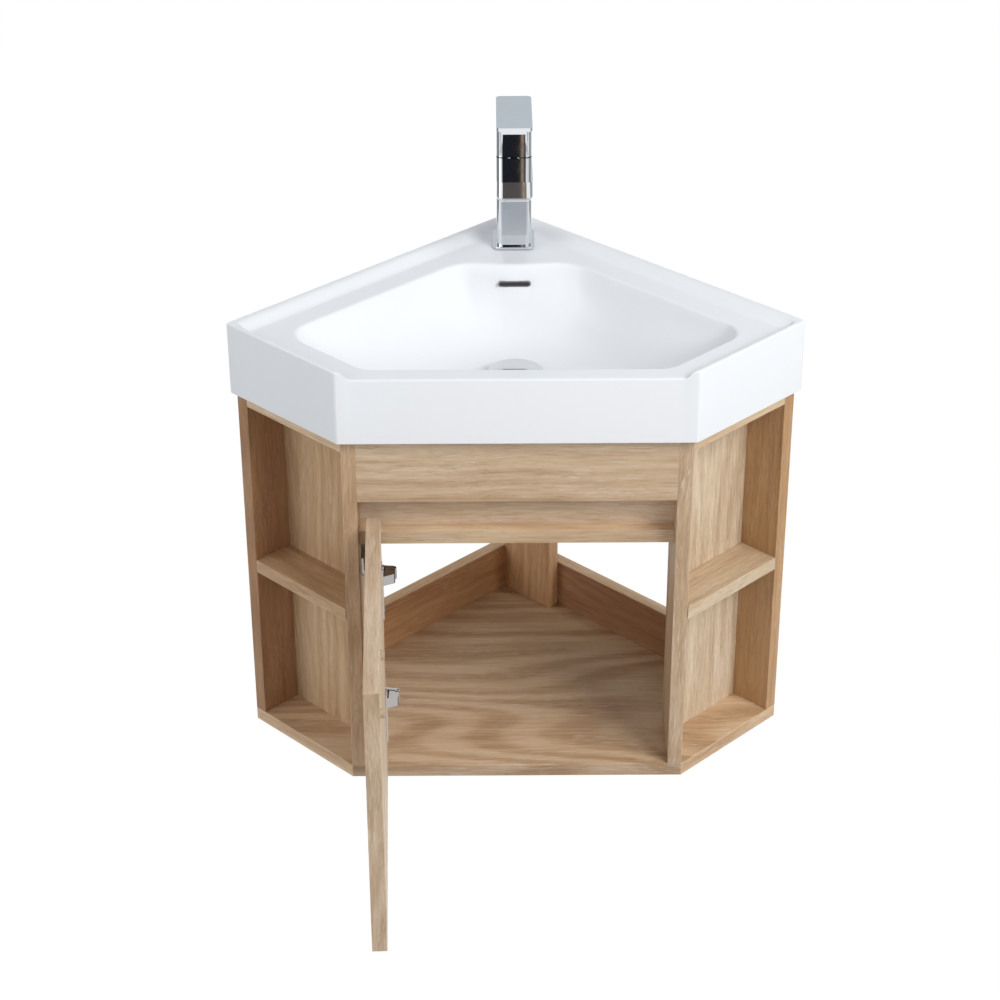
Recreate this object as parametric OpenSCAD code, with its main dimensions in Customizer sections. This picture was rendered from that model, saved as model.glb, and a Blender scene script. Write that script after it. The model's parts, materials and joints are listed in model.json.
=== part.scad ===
// Corner vanity unit that hangs in a 90 degree corner: a five-sided basin with a mixer tap
// and a click-clack waste, on an oak-board cabinet with two open niches and one hinged door.
//
// Frame: the origin is where the two walls and the cabinet's underside meet. +Z is up, the
// front faces -Y, and the walls run from the origin at 45 degrees on either side of -Y.
// "Wall frame" below means x along the left wall and y along the right wall.

/* [Basin] */
// Width across the two wall corners of the basin
basin_w = 600; // [570:5:720]
// Length of each side flank, measured square to its wall
flank = 165; // [155:5:200]
// Height from the underside of the basin to the top of its lip
basin_h = 80; // [70:1:100]
// Height of the lip above the ledge inside it
lip_h = 8; // [4:1:12]
// Thickness of the lip along the walls and flanks
lip_w = 8; // [6:1:14]
// Thickness of the skirt that hides the hollow underside
skirt_t = 22; // [18:1:28]
// Thickness of the ledge and tap deck
deck_t = 15; // [10:1:20]
// Depth of the bowl below the ledge
bowl_depth = 87; // [70:1:92]
// Thickness of the bowl's wall
bowl_wall = 8; // [6:1:10]
// Distance from each wall to the edge of the bowl
bowl_wall_margin = 49.5; // [45:0.5:60]
// Distance from each flank to the edge of the bowl
bowl_flank_margin = 37; // [34:1:50]
// Distance from the basin's front face to the edge of the bowl
bowl_front_margin = 24.7; // [24:0.1:40]
// Distance from the wall corner to the back edge of the bowl
bowl_back = 132; // [130:1:140]
// How far the tap deck bulges into the bowl at the middle
deck_bulge = 7.6; // [0:0.2:10]
// Distance from the wall corner to the middle of the waste
drain_back = 243; // [236:1:250]
// Width of the overflow slot
slot_w = 36; // [24:1:40]
// Height of the overflow slot
slot_h = 8; // [6:0.5:10]
// Depth of the overflow slot's middle below the ledge
slot_drop = 20; // [16:1:30]

/* [Cabinet] */
// Height of the cabinet
cab_h = 415; // [380:5:520]
// Thickness of every board
board = 15; // [15:1:18]
// How far the basin stands over the cabinet at the flanks and front
overhang = 11.4; // [8:0.2:16]
// Depth of the open niches behind the flanks
niche_depth = 48; // [40:1:60]
// Width of the end panels along the walls
end_panel_w = 95; // [85:1:110]
// Depth of the two partitions beside the door opening
partition_d = 90; // [90:1:95]
// Height of the middle of the niche shelves
shelf_mid = 206; // [180:1:240]
// Gap between a niche shelf and the partition
shelf_gap = 1; // [0.5:0.5:2]
// Height of the fixed front rail
rail_h = 72.5; // [60:0.5:80]
// Finger gap between the front rail and the door
finger_gap = 23.5; // [20:0.5:30]
// Depth of the board that stops the door
stop_rail_d = 70; // [50:1:90]
// How far the door laps over the board that stops it, down to that board's top
door_lap = 22; // [12:1:24]
// Height of the cross rail that stands on the board that stops the door
cross_rail_h = 75; // [60:1:80]
// How far the cross rail stands back from that board's front edge
cross_rail_back = 12.5; // [8:0.5:20]
// Height of the two rails that stand on the floor panel along the walls
low_rail_h = 58; // [40:1:80]
// Height of the two rails that the unit hangs from
hang_rail_h = 80; // [70:1:100]
// Width of the post in the corner
post_w = 74; // [60:1:90]

/* [Door and hinges] */
// Gap beside and below the door
door_gap = 2; // [1.5:0.5:3]
// Angle at which the door stands open
door_open = 88; // [0:1:100]
// Gap between the closed door and its stop board
stop_gap = 4.5; // [4:0.5:6]
// Height of the lower hinge
low_hinge_z = 97; // [80:1:120]
// Distance from the door's top edge down to the upper hinge
high_hinge_drop = 69; // [60:1:90]
// Distance from the door's edge to the middle of a hinge cup
cup_edge = 22; // [22:0.5:24]
// Diameter of the hinge cups
cup_d = 35; // [35:0.5:36]
// Depth of the hinge cups
cup_depth = 12.6; // [12.6:0.1:12.8]

/* [Tap] */
// Distance from the wall corner to the middle of the tap
tap_back = 71; // [68:1:76]
// Width of the tap
tap_w = 38.5; // [36:0.5:40]
// Depth of the tap's column
tap_d = 46; // [42:1:50]
// Height of the top of the spout above the ledge
spout_top = 107; // [100:1:130]
// Thickness of the spout
spout_t = 22; // [20:1:24]
// Reach of the spout in front of the column
spout_reach = 73.5; // [70:0.5:80]
// Height of the top of the lever above the ledge
lever_top = 158; // [156:1:170]
// How far the lever plate reaches in front of the column
lever_reach = 46; // [40:1:54]
// Length of the lever plate
lever_l = 100; // [90:1:110]
// Diameter of the tap hole
tap_hole_d = 35; // [34:0.5:36]

/* [Waste] */
// Diameter of the waste's dome
cap_d = 60; // [56:1:62]
// Diameter of the drain hole
drain_hole_d = 45.4; // [44:0.2:46]
// How far the dome rises from shut to open
plug_travel = 7; // [5:0.5:8]
// Diameter of the tail that a trap fits
tail_d = 32; // [30:0.5:34]

/* [Hidden] */
$fn = 64;
eps = 0.01;
root2 = sqrt(2);
oak = "burlywood";
oak_dark = "tan";
steel = "silver";

// Plan of the basin and the cabinet
side = basin_w / root2;
front_y = -(side + flank) / root2;
cab_side = side - overhang;
cab_front_y = front_y + overhang;
front_half = root2 * cab_side + cab_front_y;
opening_half = front_half - board;
post_line = root2 * front_half;
niche_x1 = cab_side - niche_depth;
niche_x0 = niche_x1 - board;
wall_board_l = cab_side - end_panel_w;

// Heights
basin_top = cab_h + basin_h;
ledge_z = basin_top - lip_h;
bowl_floor = ledge_z - bowl_depth;
rail_z = cab_h - rail_h;
door_top = rail_z - finger_gap;
stop_z = door_top - door_lap - board;
stop_y = cab_front_y + board + stop_gap;
cross_rail_y = stop_y + cross_rail_back;
cross_rail_z = stop_z + board;

// Door, as it stands when shut
door_floor_gap = 3;
door_z = board + door_floor_gap;
door_h = door_top - door_z;
door_half = opening_half - door_gap;
door_back_y = cab_front_y + board;

// Hinge: the pivot, seen from above, and the pieces placed from it with the door shut
pivot_in = 7.7;
pivot_deep = 13.75;
pivot = [-door_half + pivot_in, door_back_y - pivot_deep];
arm_end = pivot + [26.4, 13.5];
cup_pin = pivot + [1.3, 6.9];
cup_centre = [-door_half + cup_edge, door_back_y];
link_ratio = 0.26;
link_t = 2;
link_h = 8;
link_eye_r = 2.5;
eye_steps = 24;
link_drop = 10.05;
link_path = [
    [0, 0], [-2.6, -6.6], [-5.2, -link_drop], [-19.5, -link_drop], [-22.8, -8.2], [-23.6, -6.3]
];
hinge_pin_r = 1.25;
pin_fit = 0.05;
fork_r = 2.7;
fork_t = 2;
fork_l = 5;
fork_gap = 0.4;
arm_h = 2 * (fork_t + fork_gap) + link_h;
// the arm's hump, seen from above, as offsets from the link's pin
arm_hump = [[-6, 12], [-fork_r, 4.4], [fork_r, 4.4], [fork_r, 17], [-3, 24]];
arm_start = 6;
arm_slope_end = 34;
plate_t = 3;
plate_l = 46;
plate_h = 18;
plate_y = stop_y + 9;
plate_wing = [12, 46];
plate_screw_pitch = 32;
plate_screw_y = cab_front_y + 52;
// screws of the hinges, as [shank radius, head radius, head height]
plate_screw = [1.9, 3.6, 1.8];
arm_screw = [2, 3.4, 1.6];
cup_screw = [1.8, 3.4, 1.5];
plate_screw_l = 13;
arm_screw_in = 2;
arm_t = 7.9;
arm_screw_y = [plate_screw_y + 4, plate_screw_y + 17];
cup_wall = 0.8;
cup_flange_t = 0.8;
cup_rim = 1;
cup_flange_wing = [13, 60];
cup_screw_pitch = 48;
cup_screw_in = 6;
cup_screw_l = 11;
cup_stub_r = 1.2;
cup_stub_l = 6.4;
hinge_z = [low_hinge_z, door_top - high_hinge_drop];
fit = 0.1;

// Fasteners of the carcass
screw_r = 2.4;
screw_head_r = 4.5;
screw_head_h = 2.6;
screw_l = 50;
dowel_r = 4;
dowel_l = 30;
dowel_in = 10;
partition_screw_y = [22, 68];
end_screw_x = [20, 75];
niche_screw_y = 45;
rail_screw_x = [90, 250];
post_screw_y = [22, 52];
rail_dowel_in = 18;
stop_dowel_in = 16;
shelf_dowel_y = 45;
wall_screw_r = 4;
wall_screw_x = [110, 260];
wall_screw_z = cab_h - hang_rail_h / 2;
bumper_r = 5;
bumper_t = stop_gap - 0.4;
bumper_in = [12, 110];

// Basin
basin_radii = [3, 3, 7, 7, 3];
lip_radii = [6, 6, 0.5, 0.5, 6];
bowl_radii = [38, 160, 38, 30, 26, 26, 30];
drain = [0, -drain_back];
bowl_floor_share = 0.2;
bowl_steps = 9;
corner_steps = 6;
boss_r = 34;
boss_h = 20;
duct_r = 5.5;
duct_foot_r = 4.8;
duct_wall = 3.5;
slot_reach = 27;
slot_behind = 3;
duct_back = bowl_back - 4;
rib_margin = 4;
rib_d = 18;
duct_z = bowl_floor - boss_h / 2;
slot_z = ledge_z - slot_drop;
trim_wall = 1.6;
trim_d = 9;
trim_out = 1.6;

// Waste
flange_r = cap_d / 2 + 2;
flange_t = 2.5;
flange_fit = 0.5;
waste_r = drain_hole_d / 2 - 0.4;
waste_bore_r = waste_r - 2.8;
boss_z = bowl_floor - boss_h;
washer_t = 3;
washer_r = boss_r - 3;
waste_nut_t = 12;
waste_nut_r = boss_r - 5;
waste_thread_end = 14;
waste_end = boss_z - washer_t - waste_nut_t - waste_thread_end;
tail_r = tail_d / 2;
tail_socket = 12;
tail_l = 70;
tail_wall = 1.5;
cap_t = 3.5;
cap_edge = 0.8;
cap_shoulder = 1.2;
plug_stem_r = 4;
spider_t = 4;
spider_z = boss_z - 12;
spoke_t = 3;
guide_wall = 3;
collar_t = 3;
collar_over = 2;
collar_drop = plug_travel + collar_t + 1;
seal_t = 1.5;

// Tap
tap_y = -tap_back;
gasket_t = 1;
gasket_in = 1.5;
base_t = 3;
base_over = 3.75;
base_z = ledge_z + gasket_t;
column_z = base_z + base_t;
spout_z1 = ledge_z + spout_top;
spout_z0 = spout_z1 - spout_t;
spout_tip_y = tap_y - tap_d / 2 - spout_reach;
column_r = 7;
aerator_y = spout_tip_y + 19;
aerator_r = 11;
aerator_h = 10;
aerator_out = 1.5;
screen_t = 5;
jet_r = 0.95;
jet_pitch = 2.9;
spout_bore_r = 5.5;
cartridge_r = 13.3;
cartridge_h = 30;
cartridge_z = spout_z1 - 2 - cartridge_h;
port_r = 3;
nut_r = 15.4;
nut_h = 8;
nut_fit = 0.4;
carrier_r = 8.5;
carrier_wall = 1.4;
carrier_z = spout_z1 - 10;
carrier_h = 12;
carrier_floor = 2;
stem_slot_fit = 0.2;
lift_z = spout_z1 - 4;
stem_pin_r = 1.5;
stem_eye_r = 3;
relief = 20;
stem_r = 4;
stem_top = spout_z1 + 18;
handle_gap = 0.6;
handle_z = spout_z1 + handle_gap;
lever_t = 4;
lever_z1 = ledge_z + lever_top;
lever_front_y = tap_y - tap_d / 2 - lever_reach;
lever_r = 5;
handle_wall = 3.5;
socket_r = 7;
socket_z = spout_z1 + 9;
handle_screw_r = 2;
handle_screw_z = stem_top - 3.5;
tap_socket_d = 12;
stud_r = 4;
stud_back = 9;
stud_below = 22;
inlet_r = 5;
inlet_thread = 28;
thread_depth = 0.3;
inlet_below = 24;
inlet_x = 8.5;
inlet_front = 5;
deck_z = ledge_z - deck_t;
tap_clamp_r = 20;
clamp_t = 4;
clamp_fit = 1;
stud_fit = 0.3;
tap_nut_t = 7;
tap_nut_r = 7.5;

// Wall frame: x along the left wall, y along the right wall
module wall_frame() {
    rotate([0, 0, 225]) children();
}

module right_side() {
    mirror([1, 0, 0]) children();
}

// A point given by its distances from the two walls, as a point of the plan
function at_walls(u, v) = [(v - u) / root2, -(u + v) / root2];

// Five-sided plan: wall sides of length s, cut off in front at y = f, held m off the walls
function plan_outline(s, f, m = 0) = [
    at_walls(m, m),
    at_walls(m, s),
    [root2 * s + f, f],
    [-root2 * s - f, f],
    at_walls(s, m)
];

// The corner at p, between neighbours a and b, as an arc of radius r
function corner_arc(p, a, b, r) =
    let (
        to_a = (a - p) / norm(a - p),
        to_b = (b - p) / norm(b - p),
        half = acos(to_a * to_b) / 2,
        middle = (to_a + to_b) / norm(to_a + to_b),
        c = p + middle * r / sin(half),
        from = p + to_a * r / tan(half) - c,
        to = p + to_b * r / tan(half) - c,
        start = atan2(from.y, from.x),
        turn = atan2(to.y, to.x) - start,
        sweep = turn > 180 ? turn - 360 : (turn < -180 ? turn + 360 : turn)
    )
    [for (i = [0:corner_steps]) c + r * [cos(start + sweep * i / corner_steps),
                                         sin(start + sweep * i / corner_steps)]];

function rounded(points, radii) =
    let (n = len(points))
    [for (i = [0:n - 1])
        each corner_arc(points[i], points[(i + n - 1) % n], points[(i + 1) % n], radii[i])];

module rounded_slab(w, d, h, r) {
    linear_extrude(h) rounded_rect(w, d, r);
}

module rounded_rect(w, d, r) {
    square([w - 2 * r, d], center = true);
    square([w, d - 2 * r], center = true);
    for (x = [-1, 1])
        for (y = [-1, 1])
            translate([x * (w / 2 - r), y * (d / 2 - r)]) circle(r);
}

// ---------- carcass fasteners ----------

// Screws that rise through the floor panel into the boards that stand on it
partition_screws = [for (x = [-1, 1]) for (y = partition_screw_y)
    [x * (front_half - board / 2), cab_front_y + y]];
end_screws = [for (x = end_screw_x) at_walls(cab_side - x, board / 2)];
niche_screws = [at_walls(niche_x0 + board / 2, niche_screw_y)];
rail_screws = [for (x = rail_screw_x) at_walls(x, board / 2)];
post_screws = [for (y = post_screw_y) at_walls(1.5 * board, board + y)];
left_screws = concat(end_screws, niche_screws, rail_screws);
right_screws = [for (p = left_screws) [-p.x, p.y]];
floor_screws = concat(partition_screws, left_screws, right_screws, post_screws);

module carcass_screw(grow) {
    head_r = screw_head_r + grow;
    shank_r = screw_r + grow;
    cylinder(h = screw_head_h, r1 = head_r, r2 = shank_r);
    cylinder(h = screw_l + grow, r = shank_r);
}

module floor_screw_group(grow = 0) {
    for (p = floor_screws)
        translate([p.x, p.y, 0]) carcass_screw(grow);
}

// Dowels that join the front, stop and cross rails to the partitions, as [y, z]
rail_dowels = [
    [cab_front_y + board / 2, rail_z + rail_dowel_in],
    [cab_front_y + board / 2, cab_h - rail_dowel_in],
    [stop_y + stop_dowel_in, stop_z + board / 2],
    [stop_y + stop_rail_d - stop_dowel_in, stop_z + board / 2],
    [cross_rail_y + board / 2, cross_rail_z + rail_dowel_in],
    [cross_rail_y + board / 2, cross_rail_z + cross_rail_h - rail_dowel_in]
];

module dowel(grow) {
    translate([0, 0, -dowel_in - grow])
        cylinder(h = dowel_l + 2 * grow, r = dowel_r + grow);
}

module rail_dowel_group(grow) {
    for (p = rail_dowels)
        translate([-opening_half, p.x, p.y]) rotate([0, 90, 0]) dowel(grow);
}

module shelf_dowel_group(grow) {
    wall_frame() {
        translate([niche_x1 + niche_depth / 2, board, shelf_mid]) rotate([-90, 0, 0]) dowel(grow);
        translate([niche_x1, board + shelf_dowel_y, shelf_mid]) rotate([0, 90, 0]) dowel(grow);
    }
}

module dowel_group(grow = 0) {
    rail_dowel_group(grow);
    shelf_dowel_group(grow);
    right_side() {
        rail_dowel_group(grow);
        shelf_dowel_group(grow);
    }
}

// Cuts every fastener's hole out of a board
module drilled() {
    difference() {
        children();
        floor_screw_group(fit);
        dowel_group(fit);
    }
}

module carcass_screws() {
    color(steel) floor_screw_group();
}

module dowels() {
    color("wheat") dowel_group();
}

// ---------- cabinet boards ----------

module floor_panel() {
    color(oak) difference() {
        linear_extrude(board) polygon(plan_outline(cab_side, cab_front_y));
        translate([0, 0, -eps]) floor_screw_group(fit);
    }
}

module end_panel() {
    wall_frame() translate([wall_board_l, 0, board])
        cube([end_panel_w, board, cab_h - board]);
}

module niche_plan(x0, x1, gap = 0) {
    polygon([[x0, board], [x1, board], [x1, x1 - post_line - gap], [x0, x0 - post_line - gap]]);
}

module niche_back() {
    wall_frame() translate([0, 0, board])
        linear_extrude(cab_h - board) niche_plan(niche_x0, niche_x1);
}

module niche_shelf() {
    wall_frame() translate([0, 0, shelf_mid - board / 2])
        linear_extrude(board) niche_plan(niche_x1, cab_side, shelf_gap);
}

module niche_top() {
    wall_frame() translate([0, 0, cab_h - board])
        linear_extrude(board) niche_plan(niche_x1, cab_side);
}

module partition() {
    translate([-front_half, cab_front_y, board]) cube([board, partition_d, cab_h - board]);
}

module left_end_panel() {
    color(oak) drilled() end_panel();
}

module right_end_panel() {
    color(oak) drilled() right_side() end_panel();
}

module left_niche_back() {
    color(oak_dark) drilled() niche_back();
}

module right_niche_back() {
    color(oak_dark) drilled() right_side() niche_back();
}

module left_niche_shelf() {
    color(oak) drilled() niche_shelf();
}

module right_niche_shelf() {
    color(oak) drilled() right_side() niche_shelf();
}

module left_niche_top() {
    color(oak) niche_top();
}

module right_niche_top() {
    color(oak) right_side() niche_top();
}

module left_partition() {
    color(oak) difference() {
        drilled() partition();
        plate_screw_group(fit);
    }
}

module right_partition() {
    color(oak) drilled() right_side() partition();
}

module front_rail() {
    color(oak) drilled() translate([-opening_half, cab_front_y, rail_z])
        cube([2 * opening_half, board, rail_h]);
}

module stop_rail() {
    color(oak) drilled() translate([-opening_half, stop_y, stop_z])
        cube([2 * opening_half, stop_rail_d, board]);
}

module cross_rail() {
    color(oak) drilled() translate([-opening_half, cross_rail_y, cross_rail_z])
        cube([2 * opening_half, board, cross_rail_h]);
}

// A rail along the left wall, from a distance off the corner to the end panel
module wall_rail(start, z, h) {
    wall_frame() translate([start, 0, z]) cube([wall_board_l - start, board, h]);
}

module hanging_rail(start) {
    difference() {
        wall_rail(start, cab_h - hang_rail_h, hang_rail_h);
        wall_frame() for (x = wall_screw_x)
            translate([x, -eps, wall_screw_z]) rotate([-90, 0, 0])
                cylinder(h = board + 2 * eps, r = wall_screw_r);
    }
}

module left_low_rail() {
    color(oak) drilled() wall_rail(0, board, low_rail_h);
}

module right_low_rail() {
    color(oak) drilled() right_side() wall_rail(board, board, low_rail_h);
}

module left_hanging_rail() {
    color(oak) hanging_rail(0);
}

module right_hanging_rail() {
    color(oak) right_side() hanging_rail(board);
}

module corner_post() {
    color(oak) drilled() wall_frame() translate([board, board, board])
        cube([board, post_w, cab_h - board]);
}

// ---------- door and hinges ----------

// Turns what is drawn with the door shut to the angle at which the door stands
module door_turned() {
    translate([pivot.x, pivot.y, 0]) rotate([0, 0, -door_open])
        translate([-pivot.x, -pivot.y, 0]) children();
}

module door() {
    color(oak) door_turned() difference() {
        translate([-door_half, cab_front_y, door_z]) cube([2 * door_half, board, door_h]);
        for (z = hinge_z)
            translate([cup_centre.x, cup_centre.y + eps, z]) rotate([90, 0, 0])
                cylinder(h = cup_depth + fit, r = cup_d / 2 + fit);
        cup_screw_group(fit);
    }
}

module door_bumpers() {
    color("dimgray") door_turned() for (x = bumper_in)
        translate([door_half - x, door_back_y, stop_z + board / 2]) rotate([-90, 0, 0])
            cylinder(h = bumper_t, r = bumper_r);
}

module hinge_plate(z) {
    difference() {
        union() {
            translate([-opening_half, plate_y, z - plate_h / 2]) cube([plate_t, plate_l, plate_h]);
            translate([-opening_half, plate_screw_y - plate_wing.x / 2, z - plate_wing.y / 2])
                cube([plate_t, plate_wing.x, plate_wing.y]);
        }
        plate_screw_group(fit);
        arm_screw_group(fit);
    }
}

// Screws that hold the plates to the left partition
module plate_screw_group(grow = 0) {
    for (z = hinge_z)
        for (s = [-1, 1])
            translate([-opening_half + plate_t, plate_screw_y, z + s * plate_screw_pitch / 2])
                rotate([0, 90, 0]) pan_screw(plate_screw, plate_screw_l, grow);
}

// A pan-head screw whose head stands on z = 0 and whose shank runs down from it
module pan_screw(screw, shank_l, grow) {
    translate([0, 0, -shank_l - grow]) cylinder(h = shank_l + grow + eps, r = screw[0] + grow);
    cylinder(h = screw[2], r = screw[1]);
}

// Seen from above: the arm leaves the plate, humps over and ends in a fork at the link's pin
module hinge_arm(z) {
    base_x = -opening_half + plate_t;
    difference() {
        union() {
            translate([0, 0, z - arm_h / 2]) linear_extrude(arm_h) polygon(concat(
                [[base_x, plate_y + arm_start]],
                [for (p = arm_hump) arm_end + p],
                [[base_x + arm_t, arm_end.y + arm_slope_end],
                 [base_x + arm_t, plate_y + plate_l],
                 [base_x, plate_y + plate_l]]
            ));
            for (s = [-1, 1])
                translate([0, 0, z + s * (arm_h - fork_t) / 2 - fork_t / 2])
                    linear_extrude(fork_t) {
                        translate(arm_end) circle(fork_r);
                        translate(arm_end + [-fork_r, 0]) square([2 * fork_r, fork_l]);
                    }
        }
        translate([arm_end.x, arm_end.y, z - arm_h]) cylinder(h = 2 * arm_h, r = hinge_pin_r);
        arm_screw_group(fit);
    }
}

module arm_screw_group(grow = 0) {
    for (z = hinge_z)
        for (y = arm_screw_y)
            translate([-opening_half + plate_t + arm_t, y, z]) rotate([0, 90, 0])
                pan_screw(arm_screw, arm_t + arm_screw_in, grow);
}

function heading(a, b) = (b - a) / norm(b - a);

// Step from point i of a bent line to the mitred edge of a strip of thickness t along it
function mitre(path, i, t) =
    let (
        last = len(path) - 1,
        before = heading(path[max(i - 1, 0)], path[max(i, 1)]),
        after = heading(path[min(i, last - 1)], path[min(i + 1, last)]),
        along = heading([0, 0], before + after)
    )
    [-along.y, along.x] * t / 2 / (along * before);

// Outline of the link: both edges of the strip, then round the eye from one edge to the other
function link_outline() =
    let (
        last = len(link_path) - 1,
        half = asin(link_t / 2 / link_eye_r),
        start = atan2(link_path[1].y, link_path[1].x) - half,
        sweep = 360 - 2 * half
    )
    concat(
        [for (i = [1:last]) link_path[i] + mitre(link_path, i, link_t)],
        [for (i = [last:-1:1]) link_path[i] - mitre(link_path, i, link_t)],
        [for (i = [0:eye_steps]) let (a = start - sweep * i / eye_steps)
            link_eye_r * [cos(a), sin(a)]]
    );

// The link goes down from the arm's pin, along the bottom of the cup and up at its far side
module hinge_link(z) {
    translate([arm_end.x, arm_end.y, z - link_h / 2]) rotate([0, 0, link_ratio * door_open])
        difference() {
            linear_extrude(link_h) polygon(link_outline());
            translate([0, 0, -1]) cylinder(h = link_h + 2, r = hinge_pin_r + pin_fit);
        }
}

module hinge_cup(z) {
    door_turned() difference() {
        union() {
            difference() {
                union() {
                    translate([cup_centre.x, cup_centre.y, z]) rotate([90, 0, 0])
                        cylinder(h = cup_depth, r = cup_d / 2);
                    translate([cup_centre.x, cup_centre.y + cup_flange_t, z]) rotate([90, 0, 0])
                        cylinder(h = cup_flange_t, r = cup_d / 2 + cup_rim);
                    translate([cup_centre.x + cup_screw_in - cup_flange_wing.x / 2,
                               cup_centre.y, z - cup_flange_wing.y / 2])
                        cube([cup_flange_wing.x, cup_flange_t, cup_flange_wing.y]);
                }
                translate([cup_centre.x, cup_centre.y + 2, z]) rotate([90, 0, 0])
                    cylinder(h = cup_depth + 2 - cup_wall, r = cup_d / 2 - cup_wall);
            }
            // two stubs of the cup's cross pin, either side of the link's open end
            for (s = [-1, 1])
                translate([cup_pin.x, cup_pin.y, z + s * ((link_h + cup_stub_l) / 2 + fork_gap)])
                    cylinder(h = cup_stub_l, r = cup_stub_r, center = true);
        }
        cup_screw_group(fit);
    }
}

module cup_screw_group(grow = 0) {
    for (z = hinge_z)
        for (s = [-1, 1])
            translate([cup_centre.x + cup_screw_in, cup_centre.y + cup_flange_t,
                       z + s * cup_screw_pitch / 2])
                rotate([-90, 0, 0]) pan_screw(cup_screw, cup_screw_l, grow);
}

module upper_hinge_plate() {
    color(steel) hinge_plate(hinge_z[1]);
}

module lower_hinge_plate() {
    color(steel) hinge_plate(hinge_z[0]);
}

module upper_hinge_arm() {
    color(steel) hinge_arm(hinge_z[1]);
}

module lower_hinge_arm() {
    color(steel) hinge_arm(hinge_z[0]);
}

module upper_hinge_link() {
    color("gray") hinge_link(hinge_z[1]);
}

module lower_hinge_link() {
    color("gray") hinge_link(hinge_z[0]);
}

module upper_hinge_cup() {
    color(steel) hinge_cup(hinge_z[1]);
}

module lower_hinge_cup() {
    color(steel) hinge_cup(hinge_z[0]);
}

module hinge_pins() {
    color("gray") for (z = hinge_z)
        translate([arm_end.x, arm_end.y, z]) cylinder(h = arm_h, r = hinge_pin_r, center = true);
}

module hinge_plate_screws() {
    color("gray") plate_screw_group();
}

module hinge_arm_screws() {
    color("gray") arm_screw_group();
}

module hinge_cup_screws() {
    color("gray") door_turned() cup_screw_group();
}

// ---------- basin ----------

// Edge of the bowl at the ledge, grown by g on every side for the bowl's outer shell
function bowl_edge(g) =
    let (
        u = side - bowl_flank_margin + g,
        v = bowl_wall_margin - g,
        back_y = -bowl_back + g,
        edge_y = front_y + bowl_front_margin - g,
        wing = at_walls(u, v),
        back_x = root2 * v + back_y,
        front_x = root2 * u + edge_y
    )
    rounded([
        [back_x, back_y], [0, back_y - deck_bulge], [-back_x, back_y],
        [-wing.x, wing.y], [front_x, edge_y], [-front_x, edge_y], wing
    ], bowl_radii);

// Rings of the bowl: the edge shrinks towards the waste along a quarter of an ellipse
module bowl_shape(g, top) {
    edge = bowl_edge(g);
    n = len(edge);
    depth = bowl_depth + g;
    scales = [for (i = [0:bowl_steps])
        bowl_floor_share + (1 - bowl_floor_share) * cos(90 * i / bowl_steps)];
    levels = [for (i = [0:bowl_steps]) ledge_z - depth * sin(90 * i / bowl_steps)];
    rings = concat(
        [[for (p = edge) [p.x, p.y, top]]],
        [for (i = [0:bowl_steps]) [for (p = edge)
            let (q = drain + scales[i] * (p - drain)) [q.x, q.y, levels[i]]]]
    );
    last = len(rings) - 1;
    middle = (last + 1) * n;
    polyhedron(
        points = concat([for (ring = rings) each ring],
                        [[drain.x, drain.y, top], [drain.x, drain.y, ledge_z - depth]]),
        faces = concat(
            [for (j = [0:last - 1]) for (i = [0:n - 1]) let (k = (i + 1) % n)
                each [[j * n + i, (j + 1) * n + i, (j + 1) * n + k],
                      [j * n + i, (j + 1) * n + k, j * n + k]]],
            [for (i = [0:n - 1]) [middle, i, (i + 1) % n]],
            [for (i = [0:n - 1]) [middle + 1, last * n + (i + 1) % n, last * n + i]]
        )
    );
}

module basin_block() {
    outline = rounded(plan_outline(side, front_y), basin_radii);
    translate([0, 0, cab_h]) linear_extrude(basin_h) polygon(outline);
}

module basin_hollow() {
    inner_front = front_y + skirt_t;
    translate([0, 0, cab_h - eps]) linear_extrude(basin_h - lip_h - deck_t + eps)
        polygon(plan_outline(side - skirt_t, inner_front, skirt_t));
}

// Space inside the lip; it runs out through the front face
module ledge_space() {
    out_y = front_y - 1;
    inner = plan_outline(side - lip_w, out_y, lip_w);
    translate([0, 0, ledge_z]) linear_extrude(basin_h)
        polygon(rounded(inner, lip_radii));
}

module slot_outline(w, h) {
    square([w - h, h], center = true);
    for (s = [-1, 1]) translate([s * (w - h) / 2, 0]) circle(h / 2);
}

module overflow_rib() {
    rib_r = duct_r + duct_wall;
    translate([-slot_w / 2 - rib_margin, -bowl_back - rib_margin, slot_z - slot_h])
        cube([slot_w + 2 * rib_margin, rib_d, 2 * slot_h]);
    translate([0, -duct_back, duct_z - rib_r]) cylinder(h = slot_z - duct_z + rib_r, r = rib_r);
    translate([0, -duct_back, duct_z]) rotate([90, 0, 0])
        cylinder(h = drain_back - duct_back, r = duct_foot_r + duct_wall);
}

module overflow_duct() {
    translate([0, -duct_back + slot_behind, slot_z]) rotate([90, 0, 0])
        linear_extrude(slot_behind + slot_reach) slot_outline(slot_w, slot_h);
    translate([0, -duct_back, duct_z]) cylinder(h = slot_z - duct_z, r = duct_r);
    translate([0, -duct_back, duct_z]) rotate([90, 0, 0])
        cylinder(h = drain_back - duct_back, r = duct_foot_r);
}

module basin() {
    color("white") difference() {
        union() {
            difference() {
                basin_block();
                basin_hollow();
            }
            bowl_shape(bowl_wall, ledge_z - 1);
            overflow_rib();
            translate([drain.x, drain.y, boss_z]) cylinder(h = boss_h, r = boss_r);
        }
        ledge_space();
        bowl_shape(0, basin_top + 1);
        overflow_duct();
        translate([drain.x, drain.y, boss_z - 1]) cylinder(h = boss_h + 2, r = drain_hole_d / 2);
        translate([drain.x, drain.y, bowl_floor]) cylinder(h = boss_h, r = flange_r + flange_fit);
        translate([0, tap_y, deck_z - 1]) cylinder(h = deck_t + 2, r = tap_hole_d / 2);
    }
}

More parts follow.
